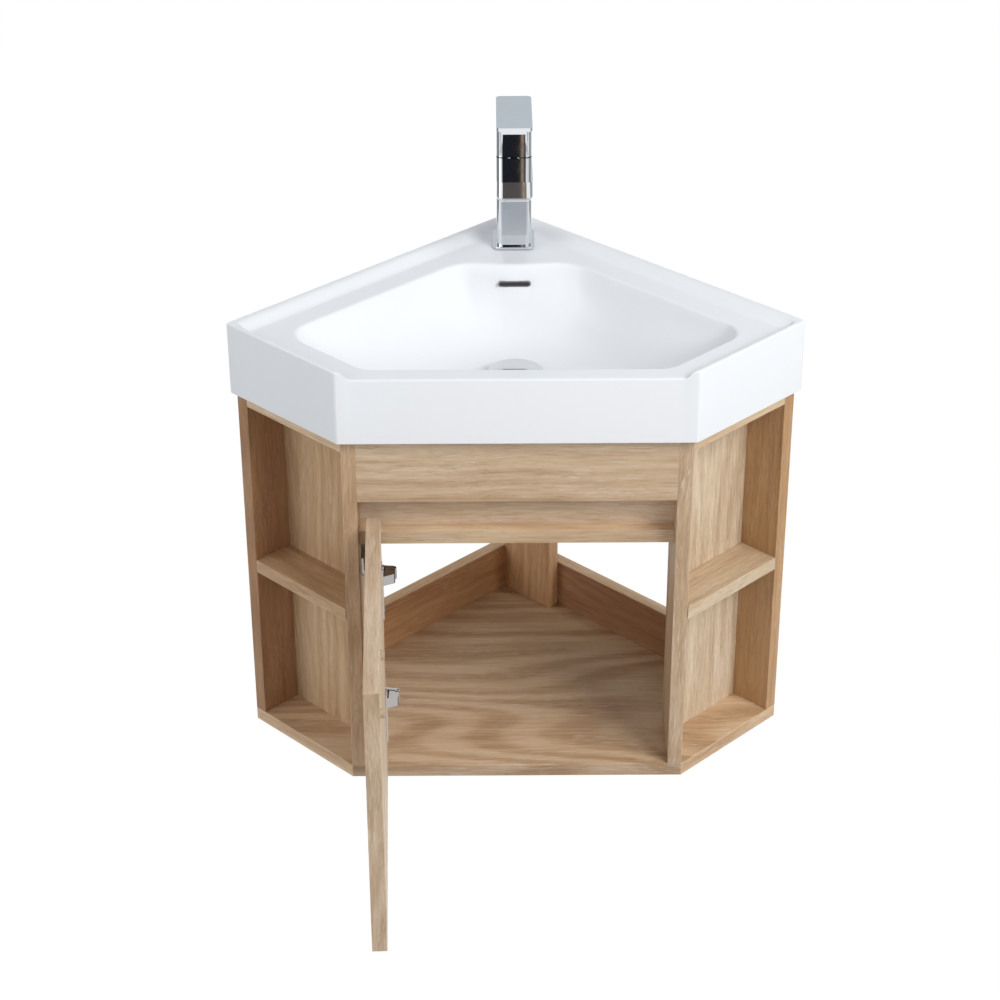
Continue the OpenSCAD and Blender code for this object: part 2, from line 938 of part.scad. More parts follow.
module overflow_trim() {
    color("dimgray") translate([0, -bowl_back - deck_bulge + trim_d - trim_out, slot_z])
        rotate([90, 0, 0]) linear_extrude(trim_d) difference() {
            slot_outline(slot_w - 2 * fit, slot_h - 2 * fit);
            slot_outline(slot_w - 2 * trim_wall, slot_h - 2 * trim_wall);
        }
}

// ---------- waste ----------

module at_drain(z) {
    translate([drain.x, drain.y, z]) children();
}

module waste_body() {
    color(steel) difference() {
        union() {
            at_drain(bowl_floor) cylinder(h = flange_t, r = flange_r);
            at_drain(waste_end) cylinder(h = bowl_floor - waste_end + eps, r = waste_r);
        }
        difference() {
            at_drain(waste_end - 1) cylinder(h = bowl_floor - waste_end + 10, r = waste_bore_r);
            // three spokes and a hub guide the plug's stem
            at_drain(spider_z) {
                cylinder(h = spider_t, r = plug_stem_r + guide_wall);
                for (a = [90, 210, 330])
                    rotate([0, 0, a]) translate([0, -spoke_t / 2, 0]) cube([waste_r, spoke_t, spider_t]);
            }
        }
        at_drain(spider_z - 1) cylinder(h = spider_t + 2, r = plug_stem_r + pin_fit);
        // two windows let the overflow duct drain into the body
        at_drain(duct_z) for (a = [0, 180])
            rotate([-90, 0, a]) cylinder(h = waste_r + 1, r = duct_foot_r);
    }
}

module waste_plug() {
    cap_z = bowl_floor + flange_t + plug_travel;
    color(steel) at_drain(0) {
        // shallow dome, turned from its outline
        rotate_extrude() translate([0, cap_z]) polygon(concat(
            [[0, 0], [cap_d / 2 - cap_edge, 0], [cap_d / 2, cap_edge]],
            [for (a = [90:-10:0]) [cap_d / 2 * sin(a), cap_shoulder + (cap_t - cap_shoulder) * cos(a)]]
        ));
        // stem, with a collar that stops the dome when it is up
        translate([0, 0, spider_z - collar_drop])
            cylinder(h = cap_z - spider_z + collar_drop + eps, r = plug_stem_r);
        translate([0, 0, spider_z - collar_t - pin_fit])
            cylinder(h = collar_t, r = plug_stem_r + collar_over);
    }
}

module plug_seal() {
    color("dimgray") at_drain(bowl_floor + flange_t + plug_travel - seal_t) difference() {
        cylinder(h = seal_t, r = waste_bore_r - 1);
        translate([0, 0, -eps]) cylinder(h = seal_t + 2 * eps, r = plug_stem_r);
    }
}

module waste_washer() {
    color("dimgray") at_drain(boss_z - washer_t) difference() {
        cylinder(h = washer_t, r = washer_r);
        translate([0, 0, -eps]) cylinder(h = washer_t + 2 * eps, r = waste_r);
    }
}

module waste_nut() {
    color(steel) at_drain(boss_z - washer_t - waste_nut_t) difference() {
        cylinder(h = waste_nut_t, r = waste_nut_r, $fn = 8);
        translate([0, 0, -eps]) cylinder(h = waste_nut_t + 2 * eps, r = waste_r);
    }
}

module waste_tail() {
    color(steel) at_drain(waste_end - tail_l) difference() {
        union() {
            cylinder(h = tail_l, r = tail_r);
            translate([0, 0, tail_l]) cylinder(h = tail_socket, r = waste_bore_r);
        }
        translate([0, 0, -1]) cylinder(h = tail_l + tail_socket + 2, r = tail_r - tail_wall);
    }
}

// ---------- tap ----------

module at_tap(z) {
    translate([0, tap_y, z]) children();
}

module tap_gasket() {
    color("dimgray") at_tap(ledge_z) difference() {
        rounded_slab(tap_w + 2 * (base_over - gasket_in), tap_d + 2 * (base_over - gasket_in),
                     gasket_t, column_r);
        translate([0, 0, -eps]) cylinder(h = gasket_t + 2 * eps, r = tap_hole_d / 2);
    }
}

module tap_base_plate() {
    color(steel) at_tap(base_z) difference() {
        rounded_slab(tap_w + 2 * base_over, tap_d + 2 * base_over, base_t, column_r + 1);
        translate([0, 0, -eps]) cylinder(h = base_t + 2 * eps, r = tap_hole_d / 2 - 0.5);
    }
}

module inlet_places() {
    for (s = [-1, 1])
        translate([s * inlet_x, -inlet_front, 0]) children();
}

module tap_body() {
    color(steel) difference() {
        union() {
            at_tap(column_z) rounded_slab(tap_w, tap_d, spout_z1 - column_z, column_r);
            translate([0, (tap_y + spout_tip_y) / 2, spout_z0])
                rounded_slab(tap_w, tap_y - spout_tip_y, spout_t, column_r);
        }
        // cartridge chamber and the wider seat of its nut
        at_tap(cartridge_z) cylinder(h = cartridge_h + 3, r = cartridge_r + fit);
        at_tap(spout_z1 - nut_h) cylinder(h = nut_h + 1, r = nut_r + fit);
        // waterway to the aerator
        translate([0, tap_y, spout_z0 + spout_t / 2]) rotate([90, 0, 0])
            cylinder(h = tap_y - aerator_y, r = spout_bore_r);
        translate([0, aerator_y, spout_z0 - 1]) cylinder(h = aerator_h + 1, r = aerator_r + fit);
        translate([0, aerator_y, spout_z0]) cylinder(h = spout_t / 2, r = spout_bore_r);
        // sockets of the stud and the two inlets, and the ways up to the cartridge
        at_tap(column_z - 1) {
            translate([0, stud_back, 0]) cylinder(h = tap_socket_d + 1, r = stud_r + fit);
            inlet_places() {
                cylinder(h = tap_socket_d + 1, r = inlet_r + fit);
                cylinder(h = cartridge_z - column_z + 2, r = port_r);
            }
        }
    }
}

module cartridge() {
    color("gainsboro") at_tap(cartridge_z) difference() {
        cylinder(h = cartridge_h - nut_h, r = cartridge_r);
        translate([0, 0, carrier_z - cartridge_z]) cylinder(h = cartridge_h, r = carrier_r + pin_fit);
        // the two ways in from the inlets, and the way out to the spout
        inlet_places() translate([0, 0, -1]) cylinder(h = 5, r = port_r);
        translate([0, 0, spout_z0 + spout_t / 2 - cartridge_z - 4]) rotate([90, 0, 0])
            cylinder(h = cartridge_r + 1, r = port_r);
    }
}

module cartridge_nut() {
    color(steel) at_tap(spout_z1 - nut_h) difference() {
        cylinder(h = nut_h - nut_fit, r = nut_r);
        translate([0, 0, -eps]) cylinder(h = nut_h, r = carrier_r + nut_fit);
    }
}

module stem_carrier() {
    color("gray") difference() {
        at_tap(carrier_z) cylinder(h = carrier_h, r = carrier_r);
        // slot in which the stem swings fore and aft
        translate([-stem_r - stem_slot_fit, tap_y - carrier_r + carrier_wall,
                   carrier_z + carrier_floor])
            cube([2 * (stem_r + stem_slot_fit), 2 * (carrier_r - carrier_wall), carrier_h]);
        translate([0, tap_y, lift_z]) rotate([0, 90, 0])
            cylinder(h = 2 * carrier_r + 2, r = stem_pin_r, center = true);
    }
}

module stem_pin() {
    color(steel) translate([0, tap_y, lift_z]) rotate([0, 90, 0])
        cylinder(h = 2 * carrier_r - carrier_wall, r = stem_pin_r, center = true);
}

module lever_stem() {
    color(steel) difference() {
        union() {
            at_tap(lift_z) cylinder(h = stem_top - lift_z, r = stem_r);
            translate([0, tap_y, lift_z]) rotate([0, 90, 0])
                cylinder(h = 2 * stem_r - 1, r = stem_eye_r, center = true);
        }
        translate([0, tap_y, lift_z]) rotate([0, 90, 0])
            cylinder(h = 4 * stem_r, r = stem_pin_r + pin_fit, center = true);
    }
}

module tap_handle() {
    block_h = lever_z1 - lever_t - handle_z;
    lever_rear_y = lever_front_y + lever_l;
    color(steel) difference() {
        union() {
            at_tap(handle_z) rounded_slab(tap_w, tap_d, block_h + eps, column_r);
            translate([0, (lever_front_y + lever_rear_y) / 2, lever_z1 - lever_t])
                rounded_slab(tap_w, lever_l, lever_t, lever_r);
        }
        // hollow round the stem, with the socket that grips it left standing
        difference() {
            at_tap(handle_z - 1) rounded_slab(tap_w - 2 * handle_wall, tap_d - 2 * handle_wall,
                                              block_h - handle_wall + 1, column_r - 2);
            at_tap(socket_z) cylinder(h = block_h, r = socket_r);
        }
        at_tap(handle_z - 1) cylinder(h = stem_top - handle_z + 1.5, r = stem_r + pin_fit);
        // the bottom edge slopes up towards the back, so that the lever can lift
        translate([-tap_w, tap_y, handle_z]) rotate([relief, 0, 0])
            translate([0, 0, -tap_d]) cube([2 * tap_w, tap_d, tap_d]);
        handle_screw_shape(handle_screw_r + fit, tap_d);
    }
}

// Runs back from the stem
module handle_screw_shape(r, l) {
    translate([0, tap_y + stem_r + fit, handle_screw_z]) rotate([-90, 0, 0]) cylinder(h = l, r = r);
}

module handle_screw() {
    color("gray") handle_screw_shape(handle_screw_r, tap_d / 2 - stem_r - 0.6);
}

module aerator_housing() {
    color(steel) translate([0, aerator_y, spout_z0 - aerator_out]) difference() {
        cylinder(h = aerator_h, r = aerator_r);
        translate([0, 0, -eps]) cylinder(h = aerator_h + 1, r = aerator_r - aerator_out);
    }
}

module aerator_screen() {
    color("dimgray") translate([0, aerator_y, spout_z0 - 0.5]) difference() {
        cylinder(h = screen_t, r = aerator_r - aerator_out);
        for (ring = [0, 1, 2])
            for (i = [0:max(0, 6 * ring - 1)])
                rotate([0, 0, 60 * i / max(1, ring)]) translate([jet_pitch * ring, 0, -1])
                    cylinder(h = screen_t + 2, r = jet_r);
    }
}

module tap_stud() {
    stud_end = deck_z - stud_below;
    color(steel) translate([0, tap_y + stud_back, stud_end])
        cylinder(h = column_z + tap_socket_d - 1 - stud_end, r = stud_r);
}

module tap_washer() {
    color("gray") at_tap(deck_z - clamp_t) difference() {
        cylinder(h = clamp_t, r = tap_clamp_r);
        translate([0, stud_back, -1]) cylinder(h = clamp_t + 2, r = stud_r + stud_fit);
        translate([-inlet_x - inlet_r - clamp_fit, -tap_clamp_r - clamp_fit, -1])
            cube([2 * (inlet_x + inlet_r + clamp_fit), tap_clamp_r + 2 * clamp_fit, clamp_t + 2]);
    }
}

module tap_nut() {
    color("gold") translate([0, tap_y + stud_back, deck_z - clamp_t - tap_nut_t]) difference() {
        cylinder(h = tap_nut_t, r = tap_nut_r, $fn = 6);
        translate([0, 0, -1]) cylinder(h = tap_nut_t + 2, r = stud_r);
    }
}

module tap_inlets() {
    inlet_end = deck_z - inlet_below;
    inlet_l = column_z + tap_socket_d - 1 - inlet_end;
    color("gold") at_tap(inlet_end) inlet_places() difference() {
        union() {
            cylinder(h = inlet_thread, r = inlet_r);
            translate([0, 0, inlet_thread - eps])
                cylinder(h = inlet_l - inlet_thread + eps, r = inlet_r - thread_depth);
        }
        translate([0, 0, -1]) cylinder(h = inlet_l + 2, r = port_r);
    }
}

floor_panel();
left_end_panel();
right_end_panel();
left_niche_back();
right_niche_back();
left_partition();
right_partition();
left_niche_shelf();
right_niche_shelf();
left_niche_top();
right_niche_top();
front_rail();
stop_rail();
cross_rail();
left_low_rail();
right_low_rail();
left_hanging_rail();
right_hanging_rail();
corner_post();
carcass_screws();
dowels();
door();
door_bumpers();
upper_hinge_plate();
lower_hinge_plate();
upper_hinge_arm();
lower_hinge_arm();
upper_hinge_link();
lower_hinge_link();
upper_hinge_cup();
lower_hinge_cup();
hinge_pins();
hinge_plate_screws();
hinge_arm_screws();
hinge_cup_screws();
basin();
overflow_trim();
waste_body();
waste_plug();
plug_seal();
waste_washer();
waste_nut();
waste_tail();
tap_body();
tap_base_plate();
tap_gasket();
tap_handle();
lever_stem();
stem_carrier();
stem_pin();
cartridge();
cartridge_nut();
handle_screw();
aerator_housing();
aerator_screen();
tap_stud();
tap_washer();
tap_nut();
tap_inlets();
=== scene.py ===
import json
import math

import bmesh
import bpy
from mathutils import Matrix, Vector


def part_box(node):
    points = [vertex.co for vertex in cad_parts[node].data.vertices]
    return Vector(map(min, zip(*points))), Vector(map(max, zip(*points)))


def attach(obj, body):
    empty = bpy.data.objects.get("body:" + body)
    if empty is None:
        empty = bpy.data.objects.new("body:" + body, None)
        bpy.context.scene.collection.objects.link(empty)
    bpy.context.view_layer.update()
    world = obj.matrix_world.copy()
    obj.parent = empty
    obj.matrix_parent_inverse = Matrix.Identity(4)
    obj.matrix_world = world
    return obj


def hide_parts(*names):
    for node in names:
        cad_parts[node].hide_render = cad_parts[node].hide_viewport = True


# Corner vanity unit: oak-board cabinet, cast basin, chromed mixer tap and waste.
# Shapes are worked out in millimetres, and finish_piece() brings each mesh to metres.
# The camera, the scales of the materials and the studio are in metres.

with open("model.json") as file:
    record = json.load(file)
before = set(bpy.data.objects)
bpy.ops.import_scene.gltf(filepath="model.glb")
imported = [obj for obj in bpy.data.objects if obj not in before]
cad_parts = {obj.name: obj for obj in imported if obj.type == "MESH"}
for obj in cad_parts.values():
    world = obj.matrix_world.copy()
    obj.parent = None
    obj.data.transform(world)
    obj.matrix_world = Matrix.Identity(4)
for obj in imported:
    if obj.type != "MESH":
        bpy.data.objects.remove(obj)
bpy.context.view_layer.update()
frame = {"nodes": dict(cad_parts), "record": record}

MM = 0.001
ROOT2 = math.sqrt(2)


def in_mm(node):
    """Lowest and highest corner of a CAD node, in millimetres."""
    low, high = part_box(node)
    return low / MM, high / MM


def between(low, high, share):
    return low + (high - low) * share


def held(value):
    """The value, held between 0 and 1."""
    return min(max(value, 0), 1)


def gentle(share):
    """A share from 0 to 1 that starts and ends gently."""
    return share * share * (3 - 2 * share)


# ---------- camera ----------

CAMERA_PLACE = (-0.02435, -2.5390, 1.5419)
CAMERA_PITCH = math.radians(29.300)
CAMERA_YAW = math.radians(-0.186)
CAMERA_ROLL = math.radians(0.191)
SENSOR = 36.0
FOCAL_SHARE = 2.3998
NEAR_CLIP = 0.1
FAR_CLIP = 60


def make_camera():
    """The camera stands where the photograph was taken from."""
    data = bpy.data.cameras.new("camera")
    data.sensor_fit = "HORIZONTAL"
    data.sensor_width = SENSOR
    data.lens = SENSOR * FOCAL_SHARE
    data.clip_start = NEAR_CLIP
    data.clip_end = FAR_CLIP
    camera = bpy.data.objects.new("camera", data)
    bpy.context.scene.collection.objects.link(camera)
    turn = Matrix.Rotation(CAMERA_YAW, 4, "Z")
    tilt = Matrix.Rotation(math.pi / 2 - CAMERA_PITCH, 4, "X")
    roll = Matrix.Rotation(-CAMERA_ROLL, 4, "Z")
    camera.matrix_world = Matrix.Translation(CAMERA_PLACE) @ turn @ tilt @ roll
    bpy.context.scene.camera = camera


# ---------- material nodes ----------

def put(tree, kind, inputs=None, **settings):
    """One shader node. An input is a number, a colour or another node's output."""
    node = tree.nodes.new("ShaderNode" + kind)
    for key, value in settings.items():
        setattr(node, key, value)
    for key, value in (inputs or {}).items():
        socket = node.inputs[key]
        if isinstance(value, bpy.types.NodeSocket):
            tree.links.new(value, socket)
        else:
            socket.default_value = value
    return node


def maths(tree, operation, a, b=0.0):
    return put(tree, "Math", {0: a, 1: b}, operation=operation).outputs[0]


def share_of(tree, value, weight):
    return maths(tree, "MULTIPLY", value, weight)


def noise(tree, place, scale=1.0, detail=2.0, rough=0.5):
    sockets = {"Vector": place, "Scale": scale, "Detail": detail, "Roughness": rough}
    return put(tree, "TexNoise", sockets).outputs["Fac"]


def stretched(tree, place, along, across):
    """The place, packed along the grain and across it by two frequencies per metre."""
    sockets = {0: place, 1: (along, across, across)}
    return put(tree, "VectorMath", sockets, operation="MULTIPLY").outputs[0]


def window(tree, value, low, high, to_low=0.0, to_high=1.0):
    """The value brought from low..high to another range, held at its ends."""
    sockets = {0: value, 1: low, 2: high, 3: to_low, 4: to_high}
    return put(tree, "MapRange", sockets, interpolation_type="SMOOTHSTEP").outputs[0]


def blend(tree, share, a, b):
    """Two colours mixed."""
    return put(tree, "Mix", {0: share, 6: a, 7: b}, data_type="RGBA").outputs[2]


def ramp(tree, value, stops):
    """A colour that runs through the stops, each a place from 0 to 1 and its colour."""
    node = put(tree, "ValToRGB", {0: value})
    elements = node.color_ramp.elements
    while len(elements) < len(stops):
        elements.new(0.5)
    for element, (place, colour) in zip(elements, stops):
        element.position = place
        element.color = colour
    return node.outputs[0]


def shaded(colour, share, lift=0.0):
    """A colour made darker or lighter."""
    return tuple(min(share * c + lift, 1) for c in colour[:3]) + (1,)


def new_material(name):
    """An empty material, its node tree and the object's own coordinates."""
    material = bpy.data.materials.new(name)
    material.use_nodes = True
    tree = material.node_tree
    tree.nodes.clear()
    return material, tree, put(tree, "TexCoord").outputs["Object"]


def close_material(material, tree, sockets, bump=None, bump_depth=0.0):
    """The shader at the end of a material's nodes."""
    if bump is not None:
        height = {"Height": bump, "Strength": 1.0, "Distance": bump_depth}
        sockets = dict(sockets, Normal=put(tree, "Bump", height).outputs[0])
    shader = put(tree, "BsdfPrincipled", sockets)
    put(tree, "OutputMaterial", {"Surface": shader.outputs[0]})
    return material


# ---------- oak ----------

OAK_DARK = (0.405, 0.250, 0.135, 1)
OAK_MID = (0.590, 0.415, 0.255, 1)
OAK_LIGHT = (0.735, 0.570, 0.390, 1)
OAK_PORE = (0.270, 0.150, 0.075, 1)
OAK_LIME = (0.800, 0.730, 0.640, 1)
ALONG_X = Vector((1, 0, 0))
UPRIGHT = Vector((0, 0, 1))
LEFT_WALL = Vector((-1, -1, 0)).normalized()
RIGHT_WALL = Vector((1, -1, 0)).normalized()
FRONT = Vector((0, -1, 0))

# Each layer of the figure has its frequencies along and across the grain, its
# roughness and its share in the tone: broad tone, bands, streaks and fibres.
FIGURE_LAYERS = (
    (1.2, 14.0, 0.50, 0.26),
    (5.0, 75.0, 0.55, 0.26),
    (16.0, 330.0, 0.60, 0.26),
    (45.0, 1100.0, 0.65, 0.20),
)
FIGURE_SPAN = 0.22
SWAY_WIDTH = 0.028
RING_TURNS = 120.0
PORE_SHARE = 0.34
PORE_SINK = 0.6
LIME_SHARE = 0.42
FOIL_BUMP = 0.00012


def oak(name, grain, offset, figure, tint):
    """Oak foil, with its grain along one direction and its own stretch of figure."""
    material, tree, place = new_material(name)
    turn = grain.rotation_difference(ALONG_X).to_euler()
    mapping = {"Vector": place, "Rotation": turn, "Location": offset}
    place = put(tree, "Mapping", mapping, vector_type="POINT").outputs[0]
    sway = noise(tree, stretched(tree, place, 4.0, 9.0), detail=1.0)
    sway = share_of(tree, maths(tree, "SUBTRACT", sway, 0.5), SWAY_WIDTH)
    sway = put(tree, "CombineXYZ", {0: 0.0, 1: sway, 2: sway}).outputs[0]
    place = put(tree, "VectorMath", {0: place, 1: sway}, operation="ADD").outputs[0]

    hills = noise(tree, stretched(tree, place, 1.1, 7.0), detail=1.0, rough=0.35)
    rings = maths(tree, "SINE", share_of(tree, hills, RING_TURNS))
    value = share_of(tree, window(tree, rings, -1.0, 1.0), figure)
    for along, across, layer_rough, share in FIGURE_LAYERS:
        fibres = noise(tree, stretched(tree, place, along, across), rough=layer_rough)
        value = maths(tree, "ADD", value, share_of(tree, fibres, share))
    middle = (figure + sum(layer[3] for layer in FIGURE_LAYERS)) / 2
    value = window(tree, value, middle - FIGURE_SPAN, middle + FIGURE_SPAN)
    colour = ramp(tree, value, ((0.0, OAK_DARK), (0.5, OAK_MID), (1.0, OAK_LIGHT)))

    pores = noise(tree, stretched(tree, place, 60.0, 1500.0), detail=1.0)
    pores = window(tree, pores, 0.58, 0.72)
    colour = blend(tree, share_of(tree, pores, PORE_SHARE), colour, OAK_PORE)
    # The tint paints light and shade onto the foil and its lime flecks.
    colour = put(tree, "VectorMath", {0: colour, 1: tint}, operation="MULTIPLY").outputs[0]

    flecks = noise(tree, stretched(tree, place, 50.0, 900.0), detail=1.5)
    flecks = window(tree, flecks, 0.55, 0.68)
    zones = noise(tree, stretched(tree, place, 9.0, 40.0))
    limed = maths(tree, "MULTIPLY", flecks, window(tree, zones, 0.40, 0.60))
    lime = tuple(c * min(share, 1) for c, share in zip(OAK_LIME, tint)) + (1,)
    colour = blend(tree, share_of(tree, limed, LIME_SHARE), colour, lime)

    rough = window(tree, fibres, 0.3, 0.7, 0.46, 0.60)
    height = maths(tree, "SUBTRACT", fibres, share_of(tree, pores, PORE_SINK))
    sockets = {"Base Color": colour, "Roughness": rough, "Specular IOR Level": 0.4}
    return close_material(material, tree, sockets, height, FOIL_BUMP)


# ---------- other finishes ----------

POLISH_SHADE = 0.93
SMOOTHEST = 0.01


def cast_white():
    """Mineral cast with a satin gel coat: nearly flat white, with the faintest cloud."""
    material, tree, place = new_material("mineral_cast")
    cloud = noise(tree, place, scale=7.0, detail=1.0)
    colour = blend(tree, cloud, (0.842, 0.861, 0.888, 1), (0.852, 0.870, 0.895, 1))
    return close_material(material, tree, {
        "Base Color": colour, "Roughness": window(tree, cloud, 0.3, 0.7, 0.30, 0.33),
        "Specular IOR Level": 0.45, "Coat Weight": 0.15, "Coat Roughness": 0.18,
    })


def metal(name, colour, rough, spread, grain_scale, brushed=1.0):
    """Metal with a slight unevenness in its polish."""
    material, tree, place = new_material(name)
    place = stretched(tree, place, grain_scale / brushed, grain_scale)
    polish = noise(tree, place, detail=3.0)
    tint = blend(tree, polish, shaded(colour, POLISH_SHADE), colour)
    smooth = max(rough - spread, SMOOTHEST)
    rough = window(tree, polish, 0.3, 0.7, smooth, rough + spread)
    return close_material(material, tree, {
        "Base Color": tint, "Metallic": 1.0, "Roughness": rough,
    })


def soft_plastic(name, colour, rough):
    """Rubber or moulded plastic with a fine matt grain."""
    material, tree, place = new_material(name)
    grain = noise(tree, place, scale=1800.0)
    tint = blend(tree, grain, colour, shaded(colour, 1.15, 0.004))
    return close_material(material, tree, {
        "Base Color": tint, "Roughness": window(tree, grain, 0.3, 0.7, rough - 0.06, rough),
    }, grain, 0.00003)


def beech():
    """Dowel beech: pale, with short flecks along the dowel."""
    material, tree, place = new_material("dowel_beech")
    fibres = noise(tree, stretched(tree, place, 160.0, 1200.0))
    colour = blend(tree, fibres, (0.55, 0.38, 0.23, 1), (0.72, 0.54, 0.36, 1))
    return close_material(material, tree, {
        "Base Color": colour, "Roughness": window(tree, fibres, 0.3, 0.7, 0.6, 0.7),
    }, fibres, 0.00005)


# The finish of each of the record's material slots, apart from the oak boards.
FINISHES = {
    "chrome": metal("chrome", (0.80, 0.825, 0.85, 1), 0.022, 0.007, 60.0),
    "hinge_nickel": metal("hinge_nickel", (0.60, 0.59, 0.57, 1), 0.15, 0.04, 900.0, 4.0),
    "zinc_steel": metal("zinc_steel", (0.60, 0.61, 0.62, 1), 0.32, 0.06, 700.0),
    "brass": metal("brass", (0.72, 0.52, 0.23, 1), 0.25, 0.05, 500.0),
    "rubber": soft_plastic("rubber", (0.035, 0.035, 0.037, 1), 0.75),
    "grey_plastic": soft_plastic("grey_plastic", (0.30, 0.31, 0.32, 1), 0.55),
    "beech": beech(),
    "white_mineral_cast": cast_white(),
}
WASTE_CHROME = metal("waste_chrome", (0.71, 0.72, 0.722, 1), 0.03, 0.01, 80.0)
DULL_STEEL = metal("overflow_steel", (0.34, 0.34, 0.35, 1), 0.30, 0.05, 300.0)
HINGE_BODY = metal("hinge_body", (0.46, 0.445, 0.43, 1), 0.15, 0.04, 900.0, 4.0)
# Painted shade: a near-black plate behind the overflow's trim that darkens the slot.
PAINTED_SHADE_PLATE = soft_plastic("overflow_painted_shade", (0.030, 0.028, 0.028, 1), 0.50)
PAD = soft_plastic("door_pad", (0.44, 0.345, 0.245, 1), 0.45)


# ---------- mesh helpers ----------

MERGE_GAP = 0.001
FLAT_WITHIN = math.radians(0.5)
TINY_AREA = 0.0001
FLAT_SHARE = 4.5
FLAT_TURN = 0.5
EASED_TURN = 6.0
CREASE_TURN = 40.0
SQUARE_EDGE = 60.0
PLAN_SEGMENTS = 6


def body_of(node):
    bodies = frame["record"]["behaviour"]["bodies"]
    return next(name for name, nodes in bodies.items() if node in nodes)


def slot_of(node):
    parts = frame["record"]["subparts"]
    return next(part["material_slot"] for part in parts if part["node"] == node)


def new_object(name, bm, materials):
    """An object in the scene with this mesh and these materials."""
    mesh = bpy.data.meshes.new(name)
    bm.to_mesh(mesh)
    bm.free()
    for material in materials:
        mesh.materials.append(material)
    made = bpy.data.objects.new(name, mesh)
    bpy.context.scene.collection.objects.link(made)
    return made


def finish_piece(bm, name, body, slot, materials, replaced=()):
    """Brings the mesh to metres and makes it a piece that rides on its body."""
    bmesh.ops.scale(bm, vec=(MM, MM, MM), verts=bm.verts)
    piece = new_object(name, bm, materials)
    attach(piece, body)
    if replaced:
        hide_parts(*replaced)


def finish_node(bm, name, node, materials):
    """A piece that takes the place of a CAD node and rides on the node's body."""
    finish_piece(bm, name, body_of(node), slot_of(node), materials, [node])


def clean_copy(node):
    """A CAD node's mesh in millimetres, merged, with each flat side as one face."""
    bm = bmesh.new()
    bm.from_mesh(frame["nodes"][node].data)
    bmesh.ops.scale(bm, vec=(1 / MM,) * 3, verts=bm.verts)
    bmesh.ops.remove_doubles(bm, verts=bm.verts, dist=MERGE_GAP)
    bmesh.ops.dissolve_limit(bm, angle_limit=FLAT_WITHIN, verts=bm.verts,
                             edges=bm.edges, delimit={"NORMAL"})
    return bm


def bevel(bm, geom, width, segments, affect="EDGES", clamp=True):
    """Rounds edges or corners, and returns the new faces."""
    made = bmesh.ops.bevel(bm, geom=geom, offset=width, offset_type="OFFSET",
                           segments=segments, profile=0.5, affect=affect,
                           clamp_overlap=clamp, material=-1)
    return made["faces"]


def ease_edges(bm, width, segments, sharper=30.0, longer=0.0):
    """Rounds the outer edges that are sharp and long enough, and returns the new faces."""
    picked = []
    for edge in bm.edges:
        if len(edge.link_faces) != 2 or not edge.is_convex:
            continue
        sharp = edge.calc_face_angle(0) >= math.radians(sharper)
        if sharp and edge.calc_length() >= longer:
            picked.append(edge)
    return bevel(bm, picked, width, segments)


def mark_creases(bm, eased):
    """Smooth shading over eased edges and curves, with the flats kept flat."""
    new = set(eased)
    area = {}
    for face in bm.faces:
        face.smooth = True
        area[face] = max(face.calc_area(), TINY_AREA)
    for edge in bm.edges:
        if len(edge.link_faces) != 2:
            continue
        a, b = edge.link_faces
        turn = math.degrees(edge.calc_face_angle(0))
        uneven = max(area[a], area[b]) > FLAT_SHARE * min(area[a], area[b])
        beside_ease = (a in new) != (b in new)
        if turn > CREASE_TURN:
            edge.smooth = False
        elif beside_ease and turn > EASED_TURN:
            edge.smooth = False
        elif uneven and turn > FLAT_TURN:
            edge.smooth = False


def smooth_curves(bm, limit):
    """Smooth shading everywhere but over the edges that turn by more than a limit."""
    for face in bm.faces:
        face.smooth = True
    for edge in bm.edges:
        if edge.calc_face_angle(0) > math.radians(limit):
            edge.smooth = False


def round_corners(bm, verts, corners, radii, segments, clamp):
    """Rounds the corners of a flat plan, each to its own radius."""
    for i, radius in enumerate(radii):
        if radius == 0:
            continue
        to_a = (corners[i - 1] - corners[i]).normalized()
        to_b = (corners[(i + 1) % len(corners)] - corners[i]).normalized()
        setback = radius / math.tan(to_a.angle(to_b) / 2)
        bevel(bm, [verts[i]], setback, segments, "VERTICES", clamp)


def prism(plan, radii, low, high):
    """An upright block over a plan with rounded corners."""
    bm = bmesh.new()
    verts = [bm.verts.new((x, y, low)) for x, y in plan]
    bm.faces.new(verts)
    corners = [Vector(corner) for corner in plan]
    round_corners(bm, verts, corners, radii, PLAN_SEGMENTS, True)
    base = max(bm.faces, key=lambda f: len(f.verts))
    made = bmesh.ops.extrude_face_region(bm, geom=[base], use_keep_orig=True)
    top = [g for g in made["geom"] if isinstance(g, bmesh.types.BMVert)]
    bmesh.ops.translate(bm, verts=top, vec=(0, 0, high - low))
    bmesh.ops.recalc_face_normals(bm, faces=bm.faces)
    return bm


# ---------- cabinet boards ----------

EDGE_EASE = 0.55
SHORT_EDGE = 9.0
BAND_WIDTH = 26.0
SMALL_FACE = 60.0
SAME_GRAIN = 0.98
SAME_FACING = 0.95
# Eased edges get a lighter tint: partly the edge band's colour, partly a painted highlight.
EDGE_BAND_AND_HIGHLIGHT_SHARE = 1.12
EDGE_BAND_AND_HIGHLIGHT_MOST = 1.3
FIGURE_STEP = (0.83, 0.37, 0.59)
PLAIN = (1, 1, 1)
